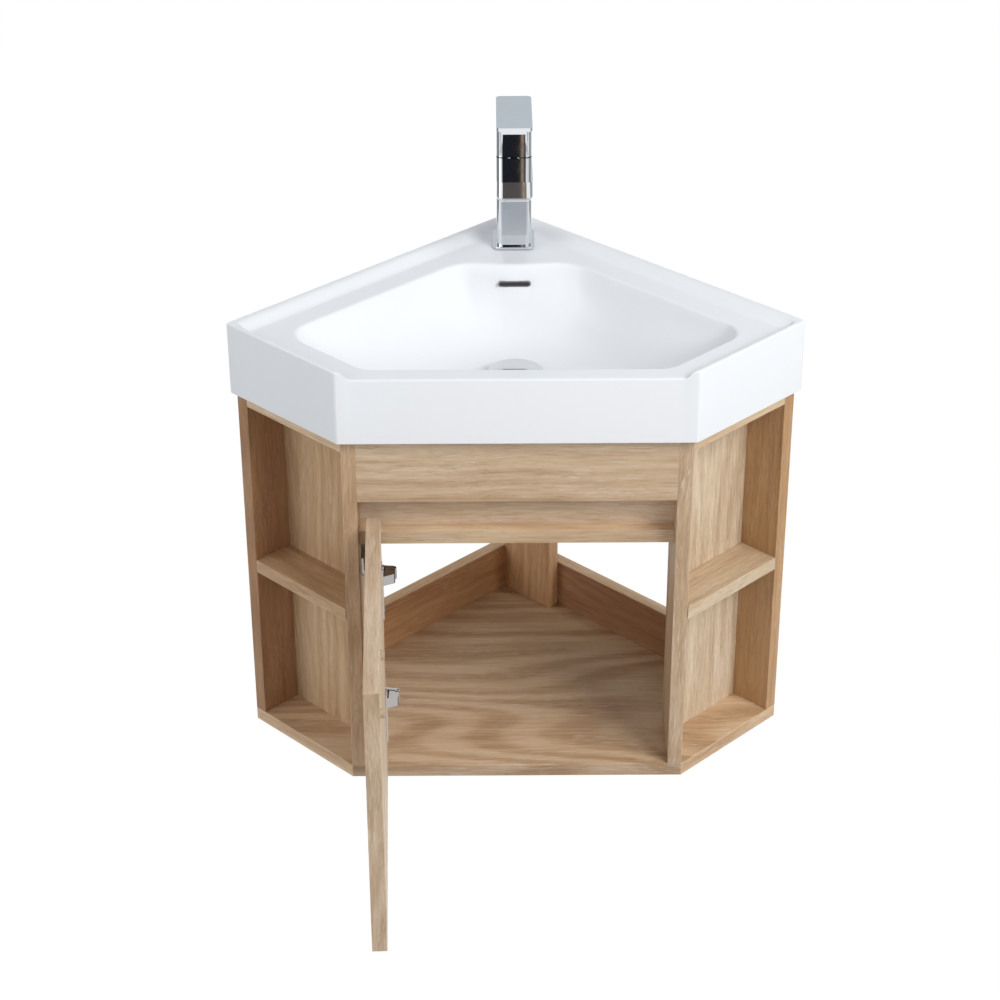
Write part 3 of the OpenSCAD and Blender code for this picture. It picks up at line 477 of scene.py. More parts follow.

# Each board has its grain, the strength of its figure and a tint over its foil that paints
# light and shade: lighter where light falls on the board, darker and warmer where it stands
# in shade.
BOARDS = {
    "floor_panel": (ALONG_X, 0.14, (0.99, 0.95, 0.92)),
    "left_end_panel": (UPRIGHT, 0.05, (0.62, 0.48, 0.40)),
    "right_end_panel": (UPRIGHT, 0.05, (0.79, 0.655, 0.525)),
    "left_niche_back": (UPRIGHT, 0.07, (0.91, 0.855, 0.775)),
    "right_niche_back": (UPRIGHT, 0.07, (1.08, 1.22, 1.39)),
    "left_partition": (UPRIGHT, 0.05, (0.89, 0.855, 0.84)),
    "right_partition": (UPRIGHT, 0.05, (1.0, 1.056, 1.15)),
    "left_niche_shelf": (RIGHT_WALL, 0.05, (0.78, 0.69, 0.60)),
    "right_niche_shelf": (LEFT_WALL, 0.05, (0.96, 1.02, 1.08)),
    "left_niche_top": (RIGHT_WALL, 0.05, PLAIN),
    "right_niche_top": (LEFT_WALL, 0.05, PLAIN),
    "front_rail": (ALONG_X, 0.05, (0.90, 0.91, 0.94)),
    "stop_rail": (ALONG_X, 0.05, (0.89, 0.89, 0.90)),
    "cross_rail": (ALONG_X, 0.05, (1.12, 1.19, 1.34)),
    "left_low_rail": (LEFT_WALL, 0.05, (0.85, 0.64, 0.48)),
    "right_low_rail": (RIGHT_WALL, 0.05, (0.67, 0.50, 0.42)),
    "left_hanging_rail": (LEFT_WALL, 0.05, PLAIN),
    "right_hanging_rail": (RIGHT_WALL, 0.05, PLAIN),
    "corner_post": (UPRIGHT, 0.05, (1.03, 0.88, 0.74)),
    "door": (UPRIGHT, 0.06, (0.98, 1.04, 1.16)),
}

# On these boards the faces that look one way get painted light and shade: a tint that
# lightens or darkens that side as light falls on it.
PAINTED_LIGHT_AND_SHADE_FACES = {
    "floor_panel": (FRONT, (0.815, 0.81, 0.835)),
    "left_low_rail": (UPRIGHT, (1.13, 1.02, 0.88)),
    "right_low_rail": (UPRIGHT, (1.22, 1.18, 1.14)),
    "corner_post": (RIGHT_WALL, (1.30, 1.12, 0.95)),
    "stop_rail": (UPRIGHT, (1.22, 1.22, 1.24)),
    "door": (ALONG_X, (1.12, 1.25, 1.46)),
}


def band_grain(face, main):
    """Grain of a flat face: along its length on an edge band, else the board's own."""
    longest = max(face.edges, key=lambda e: e.calc_length())
    length = longest.calc_length()
    area = face.calc_area()
    if area < SMALL_FACE or area / length > BAND_WIDTH:
        return main
    return (longest.verts[1].co - longest.verts[0].co).normalized()


def lay_grains(bm, main):
    """Gives each face the foil slot of its grain, and returns the grains in use."""
    grains = [main]
    for face in bm.faces:
        grain = band_grain(face, main)
        known = [i for i, g in enumerate(grains) if abs(g.dot(grain)) > SAME_GRAIN]
        if not known:
            known = [len(grains)]
            grains.append(grain)
        face.material_index = known[0]
    return grains


def make_board(node, index):
    """A board with eased edges, in its own stretch of oak foil, tinted with painted light and
    shade.
    """
    main, figure, tint = BOARDS[node]
    offset = [step * (index + 1) for step in FIGURE_STEP]
    bm = clean_copy(node)
    grains = lay_grains(bm, main)
    foils = []
    for i, grain in enumerate(grains):
        foils.append(oak("oak_%s_%d" % (node, i), grain, offset, figure, tint))
    eased_slot = len(foils)
    # The eased edges are lighter: partly the colour of the edge band, partly a painted
    # highlight where they catch the light.
    edge_band_and_highlight_tint = tuple(min(EDGE_BAND_AND_HIGHLIGHT_SHARE * share, EDGE_BAND_AND_HIGHLIGHT_MOST) for share in tint)
    foils.append(oak("oak_edge_band_and_highlight_" + node, main, offset, figure, edge_band_and_highlight_tint))
    # Painted light and shade on the faces that look one way.
    if node in PAINTED_LIGHT_AND_SHADE_FACES:
        facing, light_and_shade_tint = PAINTED_LIGHT_AND_SHADE_FACES[node]
        for face in bm.faces:
            if face.normal.dot(facing) > SAME_FACING:
                face.material_index = len(foils)
        foils.append(oak("oak_painted_light_and_shade_" + node, main, offset, figure, light_and_shade_tint))
    eased = ease_edges(bm, EDGE_EASE, 2, longer=SHORT_EDGE)
    for face in eased:
        face.material_index = eased_slot
    mark_creases(bm, eased)
    finish_node(bm, node + "_board", node, foils)


def make_boards():
    for index, node in enumerate(BOARDS):
        make_board(node, index)


# ---------- basin ----------

BASIN_LOW, BASIN_HIGH = in_mm("basin")
PLUG_LOW, PLUG_HIGH = in_mm("waste_plug")
SIDE = (BASIN_HIGH.x - BASIN_LOW.x) / ROOT2
FRONT_Y = BASIN_LOW.y
BASIN_TOP = BASIN_HIGH.z
BASIN_FOOT = in_mm("front_rail")[1].z
FOOT_EASE = 0.8
LIP_H = 8.0
LEDGE_Z = BASIN_TOP - LIP_H
DECK_UNDER = LEDGE_Z - 15.0
SKIRT_T = 22.0
TIP_R = 3
APEX_R = 3
FRONT_R = 7
INNER_R = 3
BOWL_DEPTH = 87.0
BOWL_FLOOR = LEDGE_Z - BOWL_DEPTH
BOWL_WALL = 8.0
WALL_MARGIN = 49.5
FLANK_MARGIN = 37.0
FRONT_MARGIN = 24.7
BOWL_BACK = 132.0
DECK_BULGE = 7.6
DRAIN = Vector((0, (PLUG_LOW.y + PLUG_HIGH.y) / 2))
DRAIN_R = 22.7
DRAIN_SEGMENTS = 64
BOSS_R = 34.0
BOSS_FOOT = BASIN_LOW.z
TAP_PLACE = Vector((0, -71))
TAP_HOLE_R = 17.5
TAP_HOLE_SEGMENTS = 48
CAST_CREASE = 42.0


def at_walls(u, v):
    """A point of the plan from its distances along the left and the right wall."""
    return Vector(((v - u) / ROOT2, -(u + v) / ROOT2))


def wall_distances(x, y):
    u = -(x + y) / ROOT2
    v = (x - y) / ROOT2
    return u, v


def outline_corners(wall_in, flank_in, front_in):
    """Plan of the basin, set in from its walls, its flanks and its front."""
    y = FRONT_Y + front_in
    u = SIDE - flank_in
    left_front = at_walls(u, -ROOT2 * y - u)
    left_tip = at_walls(u, wall_in)
    apex = at_walls(wall_in, wall_in)
    right_tip = Vector((-left_tip.x, left_tip.y))
    right_front = Vector((-left_front.x, left_front.y))
    return [apex, right_tip, right_front, left_front, left_tip]


RUN_OUT_STEP = 1.5
RUN_OUT_STEPS = 13
FRONT_CUTS = 24
FLANK_CUTS = 10
WALL_CUTS = 22
ARC_STEPS = 5
ON_LINE = 0.0005


def on_side(edge, a, b):
    """Whether the edge lies on the plan's side from a to b."""
    middle = (edge.verts[0].co.xy + edge.verts[1].co.xy) / 2
    along = (b - a).normalized()
    across = Vector((-along.y, along.x))
    if not 0 < (middle - a).dot(along) < (b - a).length:
        return False
    return all(abs((v.co.xy - a).dot(across)) < ON_LINE for v in edge.verts)


def loop(bm, corners, radii, cuts, z):
    """A closed loop in a level plane: rounded corners, and sides cut evenly."""
    verts = [bm.verts.new((p.x, p.y, z)) for p in corners]
    bm.faces.new(verts)
    round_corners(bm, verts, corners, radii, ARC_STEPS, False)
    edges = list(max(bm.faces, key=lambda f: len(f.verts)).edges)
    for i, cut in enumerate(cuts):
        a, b = corners[i], corners[(i + 1) % len(corners)]
        side = [edge for edge in edges if edge.is_valid and on_side(edge, a, b)]
        if cut:
            bmesh.ops.subdivide_edges(bm, edges=side, cuts=cut)
    face = max(bm.faces, key=lambda f: len(f.verts))
    edges = list(face.edges)
    bmesh.ops.delete(bm, geom=[face], context="FACES_ONLY")
    return edges


def outline_loop(bm, wall_in, flank_in, front_in, radii, z):
    """An outline loop with more points near the ends of its front side."""
    apex, right_tip, right_front, left_front, left_tip = outline_corners(
        wall_in, flank_in, front_in)
    steps = [Vector((RUN_OUT_STEP * (i + 1), 0)) for i in range(RUN_OUT_STEPS)]
    from_right = [right_front - step for step in steps]
    to_left = [left_front + step for step in reversed(steps)]
    corners = [apex, right_tip, right_front, *from_right, *to_left, left_front, left_tip]
    tip_r, apex_r, front_r = radii
    all_radii = [apex_r, tip_r, front_r, *[0] * (2 * RUN_OUT_STEPS), front_r, tip_r]
    cuts = [WALL_CUTS, FLANK_CUTS, *[0] * RUN_OUT_STEPS, FRONT_CUTS,
            *[0] * RUN_OUT_STEPS, FLANK_CUTS, WALL_CUTS]
    return loop(bm, corners, all_radii, cuts, z)


# Where the lip's flat ends and where its cove meets the ledge, in from the side.
WALL_LIP = (6.0, 24.0)
FLANK_LIP = (3.5, 12.0)

TOP_ROUND = 2.0
TOP_INSETS = (0.0, 0.12, 0.5, 1.1, TOP_ROUND)
FRONT_INSET_SHARE = 1.3
LEAST_TIP_R = 1
LEAST_FRONT_R = 2

# The cove's loops run from the first of each pair to the second.
COVE_STEPS = 11
COVE_WALL_IN = (WALL_LIP[0], WALL_LIP[1] + 1)
COVE_FLANK_IN = (FLANK_LIP[0], FLANK_LIP[1] + 0.5)
COVE_FRONT_IN = (3.2, 7.2)
COVE_TIP_R = (4, 8)
COVE_APEX_R = (4, 16)
COVE_FRONT_R = 2


def lip_height(x, y):
    """Height of the top surface: flat lip, then a soft cove down to the ledge."""
    u, v = wall_distances(x, y)
    shares = []
    for gap, (flat, foot) in ((u, WALL_LIP), (v, WALL_LIP),
                              (SIDE - u, FLANK_LIP), (SIDE - v, FLANK_LIP)):
        shares.append(max(1 - max(gap - flat, 0) / (foot - flat), 0))
    fall = gentle(max(1 - math.hypot(*shares), 0))
    return LEDGE_Z + LIP_H * (1 - fall)


def edge_drop(inset, radius):
    """How far a rounded edge lies under the flat at a distance in from the side."""
    gap = max(radius - inset, 0)
    return radius - math.sqrt(radius * radius - gap * gap)


def loop_verts(edges):
    return list({v for e in edges for v in e.verts})


def basin_top_loops(bm):
    """Loops from the side's top edge over the lip and down its cove to the ledge."""
    loops = []
    for inset in TOP_INSETS:
        tip_r = max(TIP_R - inset, LEAST_TIP_R)
        front_r = max(FRONT_R - inset, LEAST_FRONT_R)
        edges = outline_loop(bm, inset, inset, FRONT_INSET_SHARE * inset,
                             (tip_r, APEX_R, front_r), BASIN_TOP)
        for vert in loop_verts(edges):
            vert.co.z = lip_height(vert.co.x, vert.co.y) - edge_drop(inset, TOP_ROUND)
        loops.append(edges)
    for i in range(COVE_STEPS + 1):
        share = i / COVE_STEPS
        radii = (between(*COVE_TIP_R, share), between(*COVE_APEX_R, share), COVE_FRONT_R)
        edges = outline_loop(bm, between(*COVE_WALL_IN, share),
                             between(*COVE_FLANK_IN, share),
                             between(*COVE_FRONT_IN, share), radii, BASIN_TOP)
        for vert in loop_verts(edges):
            vert.co.z = lip_height(vert.co.x, vert.co.y)
        loops.append(edges)
    for vert in loop_verts(loops[-1]):
        vert.co.z = LEDGE_Z
    return loops


# The bowl's corners run from the back's left end over the deck's bulge and round by the
# right and the front to the left wing.
BOWL_RADII = (38, 160, 38, 30, 26, 26, 30)
BOWL_CUTS = (0, 0, 18, 5, 26, 5, 18)
RIM_ROUND = 3.2
BACK_ROUND = 6.0
RIM_SUPPORT = 0.8
RIM_TILTS = (0, 12, 26, 42, 58, 72)
SOFT_HALF_W = 75
SOFT_SIDE_RUN = 35
SOFT_FRONT_Y = -190
SOFT_FRONT_RUN = 40


def bowl_corners(grow, back_grow):
    """Edge of the bowl at the ledge, grown on its sides and at its back."""
    u = SIDE - FLANK_MARGIN + grow
    v = WALL_MARGIN - grow
    back_y = -BOWL_BACK + back_grow
    edge_y = FRONT_Y + FRONT_MARGIN - grow
    wing = at_walls(u, v)
    back_x = ROOT2 * v + back_y
    front_x = ROOT2 * u + edge_y
    return [Vector((back_x, back_y)), Vector((0, back_y - DECK_BULGE)),
            Vector((-back_x, back_y)), Vector((-wing.x, wing.y)),
            Vector((front_x, edge_y)), Vector((-front_x, edge_y)), wing]


def bowl_loop(bm, grow, back_grow, z):
    return loop(bm, bowl_corners(grow, back_grow), BOWL_RADII, BOWL_CUTS, z)


def back_softness(x, y):
    """1 at the middle of the deck's front edge, 0 away from it."""
    sideways = held((SOFT_HALF_W - abs(x)) / SOFT_SIDE_RUN)
    return gentle(sideways * held((y - SOFT_FRONT_Y) / SOFT_FRONT_RUN))


def rim_loops(bm):
    """The rounded rim: crisp at the sides and front, soft below the tap deck."""
    loops = [bowl_loop(bm, RIM_ROUND + RIM_SUPPORT, BACK_ROUND + RIM_SUPPORT, LEDGE_Z)]
    for tilt in RIM_TILTS:
        share = 1 - math.sin(math.radians(tilt))
        edges = bowl_loop(bm, RIM_ROUND * share, BACK_ROUND * share, LEDGE_Z)
        for vert in loop_verts(edges):
            soft = back_softness(vert.co.x, vert.co.y)
            radius = between(RIM_ROUND, BACK_ROUND, soft)
            vert.co.z = LEDGE_Z - radius * (1 - math.cos(math.radians(tilt)))
        loops.append(edges)
    return loops


def ordered(edges):
    """The vertices of a closed loop, in order."""
    start = edges[0].verts[0]
    chain, edge, vert = [start], edges[0], edges[0].other_vert(start)
    left = set(edges) - {edge}
    while vert is not start:
        chain.append(vert)
        edge = next(e for e in vert.link_edges if e in left)
        left.discard(edge)
        vert = edge.other_vert(vert)
    return chain


def softened(values, rounds):
    """Values round a closed loop, each drawn towards its neighbours."""
    count = len(values)
    for _ in range(rounds):
        values = [(values[i - 1] + 2 * values[i] + values[(i + 1) % count]) / 4
                  for i in range(count)]
    return values


RING_SOFTENING = 14
WALL_STEPS = 20
WALL_START = math.radians(12)
SHELL_STEPS = 12
SHELL_START = math.radians(10)


def sink_loops(bm, edges, foot_r, foot_z, steps, start):
    """Extrudes a loop inwards and down to a circle round the drain, ring by ring."""
    ring = ordered(edges)
    reach = [(v.co.xy - DRAIN).length for v in ring]
    heading = [(v.co.xy - DRAIN).normalized() for v in ring]
    top_z = [v.co.z for v in ring]
    for step in range(1, steps + 1):
        angle = between(start, math.pi / 2, step / steps)
        shrink = math.cos(angle) / math.cos(start)
        drop = (math.sin(angle) - math.sin(start)) / (1 - math.sin(start))
        made = bmesh.ops.extrude_edge_only(bm, edges=edges)
        edges = [g for g in made["geom"] if isinstance(g, bmesh.types.BMEdge)
                 and len(g.link_faces) == 1]
        new_verts = {v for e in edges for v in e.verts}
        links = {}
        for vert in new_verts:
            for edge in vert.link_edges:
                other = edge.other_vert(vert)
                if other not in new_verts:
                    links[other] = vert
        ring = [links[v] for v in ring]
        soft = softened(reach, int(RING_SOFTENING * step / steps * step))
        for i, vert in enumerate(ring):
            radius = foot_r + (soft[i] - foot_r) * shrink
            place = DRAIN + heading[i] * radius
            vert.co = (place.x, place.y, between(top_z[i], foot_z, drop))
    return edges


def bridge(bm, *loops):
    """A wall from each closed loop to the next."""
    for a, b in zip(loops, loops[1:]):
        bmesh.ops.bridge_loops(bm, edges=list(a) + list(b))


def fill(bm, *loops):
    """Faces over the level area between closed loops."""
    edges = [edge for one in loops for edge in one]
    bmesh.ops.triangle_fill(bm, use_beauty=True, use_dissolve=False, edges=edges)


def ring_edges(bm, place, radius, z, segments):
    """A circle's edges in a level plane."""
    made = bmesh.ops.create_circle(bm, segments=segments, radius=radius, cap_ends=False,
                                   matrix=Matrix.Translation((place.x, place.y, z)))
    return list({e for v in made["verts"] for e in v.link_edges})


def make_basin():
    """One casting: skirt, lip, ledge, bowl, drain boss and the hollow underneath."""
    bm = bmesh.new()
    tops = basin_top_loops(bm)
    foot = outline_loop(bm, 0, 0, 0, (TIP_R, APEX_R, FRONT_R), BASIN_FOOT + FOOT_EASE)
    turn_radii = (TIP_R - FOOT_EASE, APEX_R, FRONT_R - FOOT_EASE)
    foot_turn = outline_loop(bm, *[FOOT_EASE] * 3, turn_radii, BASIN_FOOT)
    inner_foot = outline_loop(bm, *[SKIRT_T] * 3, [INNER_R] * 3, BASIN_FOOT)
    inner_top = outline_loop(bm, *[SKIRT_T] * 3, [INNER_R] * 3, DECK_UNDER)
    bridge(bm, inner_top, inner_foot, foot_turn, foot, *tops)

    rims = rim_loops(bm)
    bridge(bm, *rims)
    tap_top = ring_edges(bm, TAP_PLACE, TAP_HOLE_R, LEDGE_Z, TAP_HOLE_SEGMENTS)
    fill(bm, tops[-1], rims[0], tap_top)

    floor = sink_loops(bm, rims[-1], BOSS_R - 1, BOWL_FLOOR, WALL_STEPS, WALL_START)
    drain_top = ring_edges(bm, DRAIN, DRAIN_R, BOWL_FLOOR, DRAIN_SEGMENTS)
    fill(bm, floor, drain_top)

    shell = bowl_loop(bm, BOWL_WALL, BOWL_WALL, DECK_UNDER)
    tap_under = ring_edges(bm, TAP_PLACE, TAP_HOLE_R, DECK_UNDER, TAP_HOLE_SEGMENTS)
    bridge(bm, tap_top, tap_under)
    fill(bm, inner_top, shell, tap_under)
    shell_foot = sink_loops(bm, shell, BOSS_R, BOWL_FLOOR - BOWL_WALL, SHELL_STEPS,
                            SHELL_START)
    boss_foot = ring_edges(bm, DRAIN, BOSS_R, BOSS_FOOT, DRAIN_SEGMENTS)
    bridge(bm, shell_foot, boss_foot)
    drain_foot = ring_edges(bm, DRAIN, DRAIN_R, BOSS_FOOT, DRAIN_SEGMENTS)
    bridge(bm, drain_top, drain_foot)
    bridge(bm, boss_foot, drain_foot)
    bmesh.ops.recalc_face_normals(bm, faces=bm.faces)
    smooth_curves(bm, CAST_CREASE)
    finish_node(bm, "basin_casting", "basin", [FINISHES["white_mineral_cast"]])


# ---------- metal pieces ----------

def ease_node(node, width, segments=2, longer=0.0, shape=None, material=None):
    """A metal or moulded node with its outer edges eased."""
    bm = clean_copy(node)
    if shape:
        shape(bm)
    mark_creases(bm, ease_edges(bm, width, segments, longer=longer))
    finish_node(bm, node + "_piece", node, [material or FINISHES[slot_of(node)]])


BODY_LOW, BODY_HIGH = in_mm("tap_body")
SPOUT_CORNER = 7.0
SPOUT_BACK_Y = BODY_LOW.y + SPOUT_CORNER
SPOUT_FOOT_Z = in_mm("aerator_housing")[0].z + 1.5
SPOUT_MID_Z = (SPOUT_FOOT_Z + BODY_HIGH.z) / 2
SPOUT_LEAN = math.tan(math.radians(12))
SPOUT_CHIN = 6.0
CHIN_SEGMENTS = 8
CHIN_REACH = 0.5
SAME_HEIGHT = 0.05
SHORT_CHROME_EDGE = 0.4


def lean_spout_end(bm):
    """The spout's end leans back towards its top and has a well rounded chin."""
    for vert in bm.verts:
        forward = (SPOUT_BACK_Y - vert.co.y) / SPOUT_CORNER
        if forward > 0:
            vert.co.y += (vert.co.z - SPOUT_MID_Z) * SPOUT_LEAN * min(forward, 1)
    chin = []
    for edge in bm.edges:
        low = all(abs(v.co.z - SPOUT_FOOT_Z) < SAME_HEIGHT for v in edge.verts)
        ahead = all(v.co.y < SPOUT_BACK_Y + CHIN_REACH for v in edge.verts)
        if low and ahead and edge.is_convex:
            chin.append(edge)
    bevel(bm, chin, SPOUT_CHIN, CHIN_SEGMENTS, clamp=False)


def make_tap():
    ease_node("tap_body", 0.7, 4, SHORT_CHROME_EDGE, shape=lean_spout_end)
    ease_node("tap_base_plate", 0.6, 3, SHORT_CHROME_EDGE)
    ease_node("tap_handle", 0.9, 4, SHORT_CHROME_EDGE)


def make_waste():
    ease_node("waste_plug", 0.4, 3, material=WASTE_CHROME)
    ease_node("waste_body", 0.3, material=WASTE_CHROME)
    ease_node("waste_tail", 0.4)
    ease_node("waste_nut", 0.5)


ARM_PLAN = ((-160.6, -330.8), (-152.7, -330.8), (-152.7, -372.0), (-142.5, -384.0),
            (-137.0, -386.6), (-128.6, -387.2), (-125.6, -389.5), (-125.6, -392.8),
            (-130.1, -392.8), (-131.5, -391.0), (-139.0, -390.0), (-160.6, -376.0))
ARM_RADII = (0.5, 0.5, 4, 3, 2, 1.5, 1.6, 1.6, 0.8, 0.8, 3, 0.5)
LINK_PLAN = ((-136.8, -389.6), (-131.0, -388.2), (-126.6, -388.8), (-126.9, -402.8),
             (-138.4, -408.3), (-146.4, -408.0), (-146.7, -405.9), (-137.2, -405.7))
LINK_RADII = (3, 5, 1.6, 2.5, 2, 0.6, 0.6, 0.4)

# Each block of a hinge has its plan, its corner radii, half its height and its easing.
HINGE_BLOCKS = (
    ("_hinge_arm", ARM_PLAN, ARM_RADII, 6.4, 1.0),
    ("_hinge_link", LINK_PLAN, LINK_RADII, 5.6, 0.9),
)
SHORT_HINGE_EDGE = 2.0
CUP_EDGE_PLACE = Vector((-138.2, -436.3))
CUP_EDGE_PLAN = ((-3.4, -1.2), (0.0, -1.2), (0.0, 1.1), (-3.4, 1.1))
CUP_EDGE_RADII = (0.3, 0.6, 0.6, 0.6)
CUP_EDGE_HALF_H = 29.7
DOOR_TURN = math.radians(2)


def make_cup_edge(which, middle):
    """The rolled edge of the cup's flange, which stands proud of the door's edge."""
    along = Vector((math.sin(DOOR_TURN), -math.cos(DOOR_TURN)))
    out = Vector((math.cos(DOOR_TURN), math.sin(DOOR_TURN)))
    plan = [CUP_EDGE_PLACE + a * along + b * out for a, b in CUP_EDGE_PLAN]
    edge = prism(plan, CUP_EDGE_RADII, middle - CUP_EDGE_HALF_H, middle + CUP_EDGE_HALF_H)
    mark_creases(edge, ease_edges(edge, 0.4, 2, SQUARE_EDGE))
    nickel = FINISHES["hinge_nickel"]
    finish_piece(edge, which + "_cup_edge", "door", "hinge_nickel", [nickel])


def make_hinge(which):
    """One hinge: the cranked arm, the closed link to the cup, the cup and the plate."""
    low, high = in_mm(which + "_hinge_arm")
    middle = (low.z + high.z) / 2
    for part, plan, radii, half_h, ease in HINGE_BLOCKS:
        block = prism(plan, radii, middle - half_h, middle + half_h)
        mark_creases(block, ease_edges(block, ease, 3, SQUARE_EDGE, SHORT_HINGE_EDGE))
        node = which + part
        finish_piece(block, node + "_piece", body_of(node), "hinge_nickel", [HINGE_BODY],
                     [node])
    ease_node(which + "_hinge_cup", 0.3)
    ease_node(which + "_hinge_plate", 0.5)
    make_cup_edge(which, middle)


OVERFLOW_SQUASH = 0.86
OVERFLOW_SINK = 0.4
TRIM_END = 0.8
TRIM_RIM = 0.7
SHADE_ROUND_LESS = 0.05
SHADE_BACK = (0.3, 2.3)


def squash_trim(bm):
    """The overflow's trim is a little flatter than its CAD node."""
    low = min(vert.co.z for vert in bm.verts)
    for vert in bm.verts:
        vert.co.z = low + (vert.co.z - low) * OVERFLOW_SQUASH - OVERFLOW_SINK


def make_overflow():
    """The overflow's trim, with a near-black plate just behind its front that paints the
    shade inside the slot.
    """
    ease_node("overflow_trim", 0.5, 3, shape=squash_trim, material=DULL_STEEL)
    low, high = in_mm("overflow_trim")
    height = (high.z - low.z) * OVERFLOW_SQUASH
    middle = low.z - OVERFLOW_SINK + height / 2
    half_w = (high.x - low.x) / 2 - TRIM_END
    half_h = height / 2 - TRIM_RIM
    plan = ((-half_w, -half_h), (half_w, -half_h), (half_w, half_h), (-half_w, half_h))
    radii = (half_h - SHADE_ROUND_LESS,) * 4
    near, far = SHADE_BACK
    # The near-black plate paints the shade inside the overflow slot.
    shade = prism(plan, radii, -low.y - far, -low.y - near)
    bmesh.ops.rotate(shade, cent=(0, 0, 0), matrix=Matrix.Rotation(math.pi / 2, 3, "X"),
                     verts=shade.verts)
    bmesh.ops.translate(shade, verts=shade.verts, vec=(0, 0, middle))
    mark_creases(shade, ease_edges(shade, 0.2, 2, SQUARE_EDGE))
    finish_piece(shade, "painted_shade_overflow_plate", "root", "grey_plastic", [PAINTED_SHADE_PLATE])


def paint_nodes():
    """Finishes for the CAD nodes whose shape is already right."""
    for name, node in frame["nodes"].items():
        if node.hide_render:
            continue
        finish = PAD if name == "door_bumpers" else FINISHES[slot_of(name)]
        node.data.materials.clear()
        node.data.materials.append(finish)


# ---------- studio ----------

FLOOR_Z = -0.42
FLOOR_HALF = 14
FLOOR_GLOW = 1.05
FLOOR_GLOW_SHARE = 0.94
AMBIENT = 0.37
LAMP_AIM = Vector((0, -0.25, 0.2))

# Each soft lamp has its place, its size, its watts, its colour and whether metal and
# gloss mirror it.
LAMPS = {
    "key": ((1.9, -2.1, 2.3), 1.6, 73.5, (1.0, 0.995, 0.985), False),
    "left": ((-3.0, -1.1, 1.4), 2.0, 29, (0.99, 0.995, 1.0), True),
    "fill": ((-2.2, -2.0, 1.6), 2.0, 5.4, (0.99, 0.995, 1.0), True),
    "front": ((-0.3, -3.2, 1.5), 1.6, 4.5, (1.0, 1.0, 1.0), False),
    "right": ((3.0, -1.2, 1.4), 1.6, 11, (1.0, 0.995, 0.99), False),
}


def seen_share(tree):
    """1 for rays from the camera, from gloss and through glass, else 0."""
    rays = put(tree, "LightPath").outputs
    seen = maths(tree, "MAXIMUM", rays["Is Camera Ray"], rays["Is Glossy Ray"])
    return maths(tree, "MAXIMUM", seen, rays["Is Transmission Ray"])


def make_floor():
    """Pale floor that runs out to white and keeps the object's shadow."""
    material, tree, place = new_material("studio_floor")
    mottle = noise(tree, place, scale=2.0)
    colour = blend(tree, mottle, (0.58, 0.58, 0.58, 1), (0.60, 0.60, 0.60, 1))
    matt = put(tree, "BsdfDiffuse", {"Color": colour})
    glow = put(tree, "Emission", {"Color": (1, 1, 1, 1), "Strength": FLOOR_GLOW})
    share = share_of(tree, seen_share(tree), FLOOR_GLOW_SHARE)
    mixed = put(tree, "MixShader", {0: share, 1: matt.outputs[0], 2: glow.outputs[0]})
    put(tree, "OutputMaterial", {"Surface": mixed.outputs[0]})
    bm = bmesh.new()
    bmesh.ops.create_grid(bm, x_segments=1, y_segments=1, size=FLOOR_HALF,
                          matrix=Matrix.Translation((0, 0, FLOOR_Z)))
    floor = new_object("floor", bm, [material])


def make_world():
    """White to the camera and in reflections, and a plain fill light otherwise."""
    world = bpy.data.worlds.new("studio")
    bpy.context.scene.world = world
    world.use_nodes = True
    tree = world.node_tree
    tree.nodes.clear()
    fill_light = put(tree, "Background", {"Color": (0.93, 0.96, 1.0, 1), "Strength": AMBIENT})
    white = put(tree, "Background", {"Color": (1, 1, 1, 1), "Strength": 1.0})
    sockets = {0: seen_share(tree), 1: fill_light.outputs[0], 2: white.outputs[0]}
    mixed = put(tree, "MixShader", sockets)
    put(tree, "OutputWorld", {"Surface": mixed.outputs[0]})


def make_lamp(name):
    place, size, watts, colour, mirrored = LAMPS[name]
    data = bpy.data.lights.new(name, "AREA")
    data.shape = "SQUARE"
    data.size = size
    data.energy = watts
    data.color = colour
    lamp = bpy.data.objects.new(name, data)
    lamp.location = place
    heading = LAMP_AIM - Vector(place)
    lamp.rotation_euler = heading.to_track_quat("-Z", "Y").to_euler()
    lamp.visible_glossy = mirrored
    bpy.context.scene.collection.objects.link(lamp)


# The front card's streak rises and falls between these places across the card, and
# the card turns dark between these two heights.
STREAK_RISE = (0.0535, 0.0555)
STREAK_FALL = (0.059, 0.061)
DARK_RISE = (0.9, 1.7)


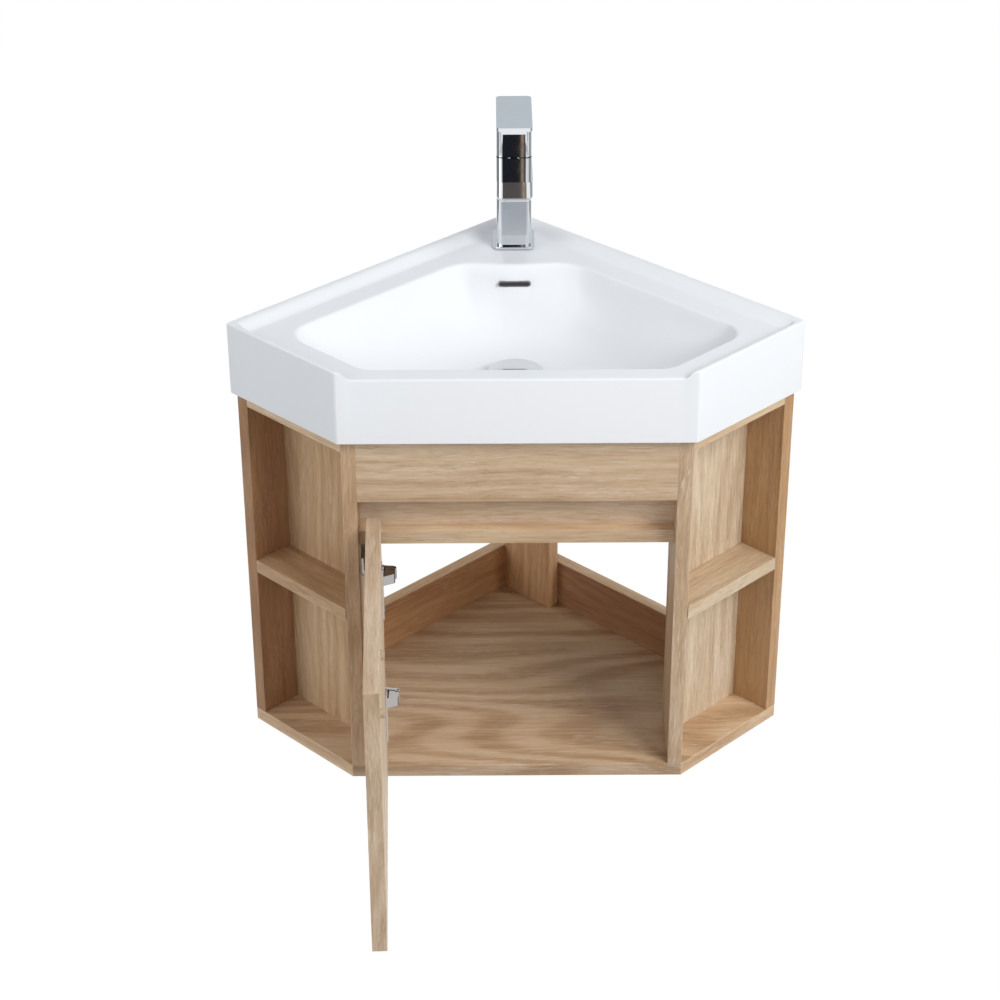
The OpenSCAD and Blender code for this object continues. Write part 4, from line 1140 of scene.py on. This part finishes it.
def dark_paint(tree, place):
    """The dark side of the room: nearly black above, warm grey low down, one warm streak."""
    across, _, up = put(tree, "SeparateXYZ", {0: place}).outputs
    rise = window(tree, across, *STREAK_RISE)
    fall = window(tree, across, *STREAK_FALL, 1.0, 0.0)
    streak = maths(tree, "MULTIPLY", rise, fall)
    low = blend(tree, noise(tree, place, scale=9.0), (0.10, 0.085, 0.075, 1),
                (0.17, 0.15, 0.145, 1))
    colour = blend(tree, window(tree, up, *DARK_RISE), low, (0.020, 0.020, 0.025, 1))
    return blend(tree, streak, colour, (0.62, 0.46, 0.34, 1))


def even_paint(low, high):
    def paint(tree, place):
        return blend(tree, noise(tree, place, scale=1.5), low, high)
    return paint


def grey_paint(tone):
    return even_paint((tone, tone, tone, 1), shaded((tone, tone, tone), 1.1))


# Each upright card has its two ends in plan, its lowest and highest height and its paint.
CARDS = {
    "front_card": ((-0.7, -3.6), (0.7, -3.6), (-0.4, 3.2), dark_paint),
    "sky_card": ((-0.12, 2.5), (0.17, 2.5), (1.38, 1.82),
                 even_paint((0.565, 0.610, 0.642, 1), (0.590, 0.638, 0.670, 1))),
    "side_card_0": ((-1.3, -0.7), (-1.3, 1.1), (-0.41, 2.4), grey_paint(0.26)),
    "side_card_2": ((1.3, -0.7), (1.3, 1.1), (-0.41, 2.4), grey_paint(0.38)),
}


def make_card(name):
    """A card that only metal and gloss see."""
    start, end, (low, high), paint = CARDS[name]
    material, tree, place = new_material(name)
    glow = put(tree, "Emission", {"Color": paint(tree, place), "Strength": 1.0})
    put(tree, "OutputMaterial", {"Surface": glow.outputs[0]})
    bm = bmesh.new()
    corners = ((*start, low), (*end, low), (*end, high), (*start, high))
    bm.faces.new([bm.verts.new(corner) for corner in corners])
    card = new_object(name, bm, [material])
    card.visible_camera = False
    card.visible_diffuse = False
    card.visible_shadow = False
    card.visible_transmission = False


def make_studio():
    make_world()
    for name in LAMPS:
        make_lamp(name)
    for name in CARDS:
        make_card(name)
    make_floor()


# ---------- assembly ----------

make_camera()
make_boards()
make_basin()
make_tap()
make_hinge("upper")
make_hinge("lower")
make_waste()
make_overflow()
paint_nodes()
make_studio()

bpy.context.scene.view_settings.view_transform = "Standard"
bpy.context.view_layer.update()
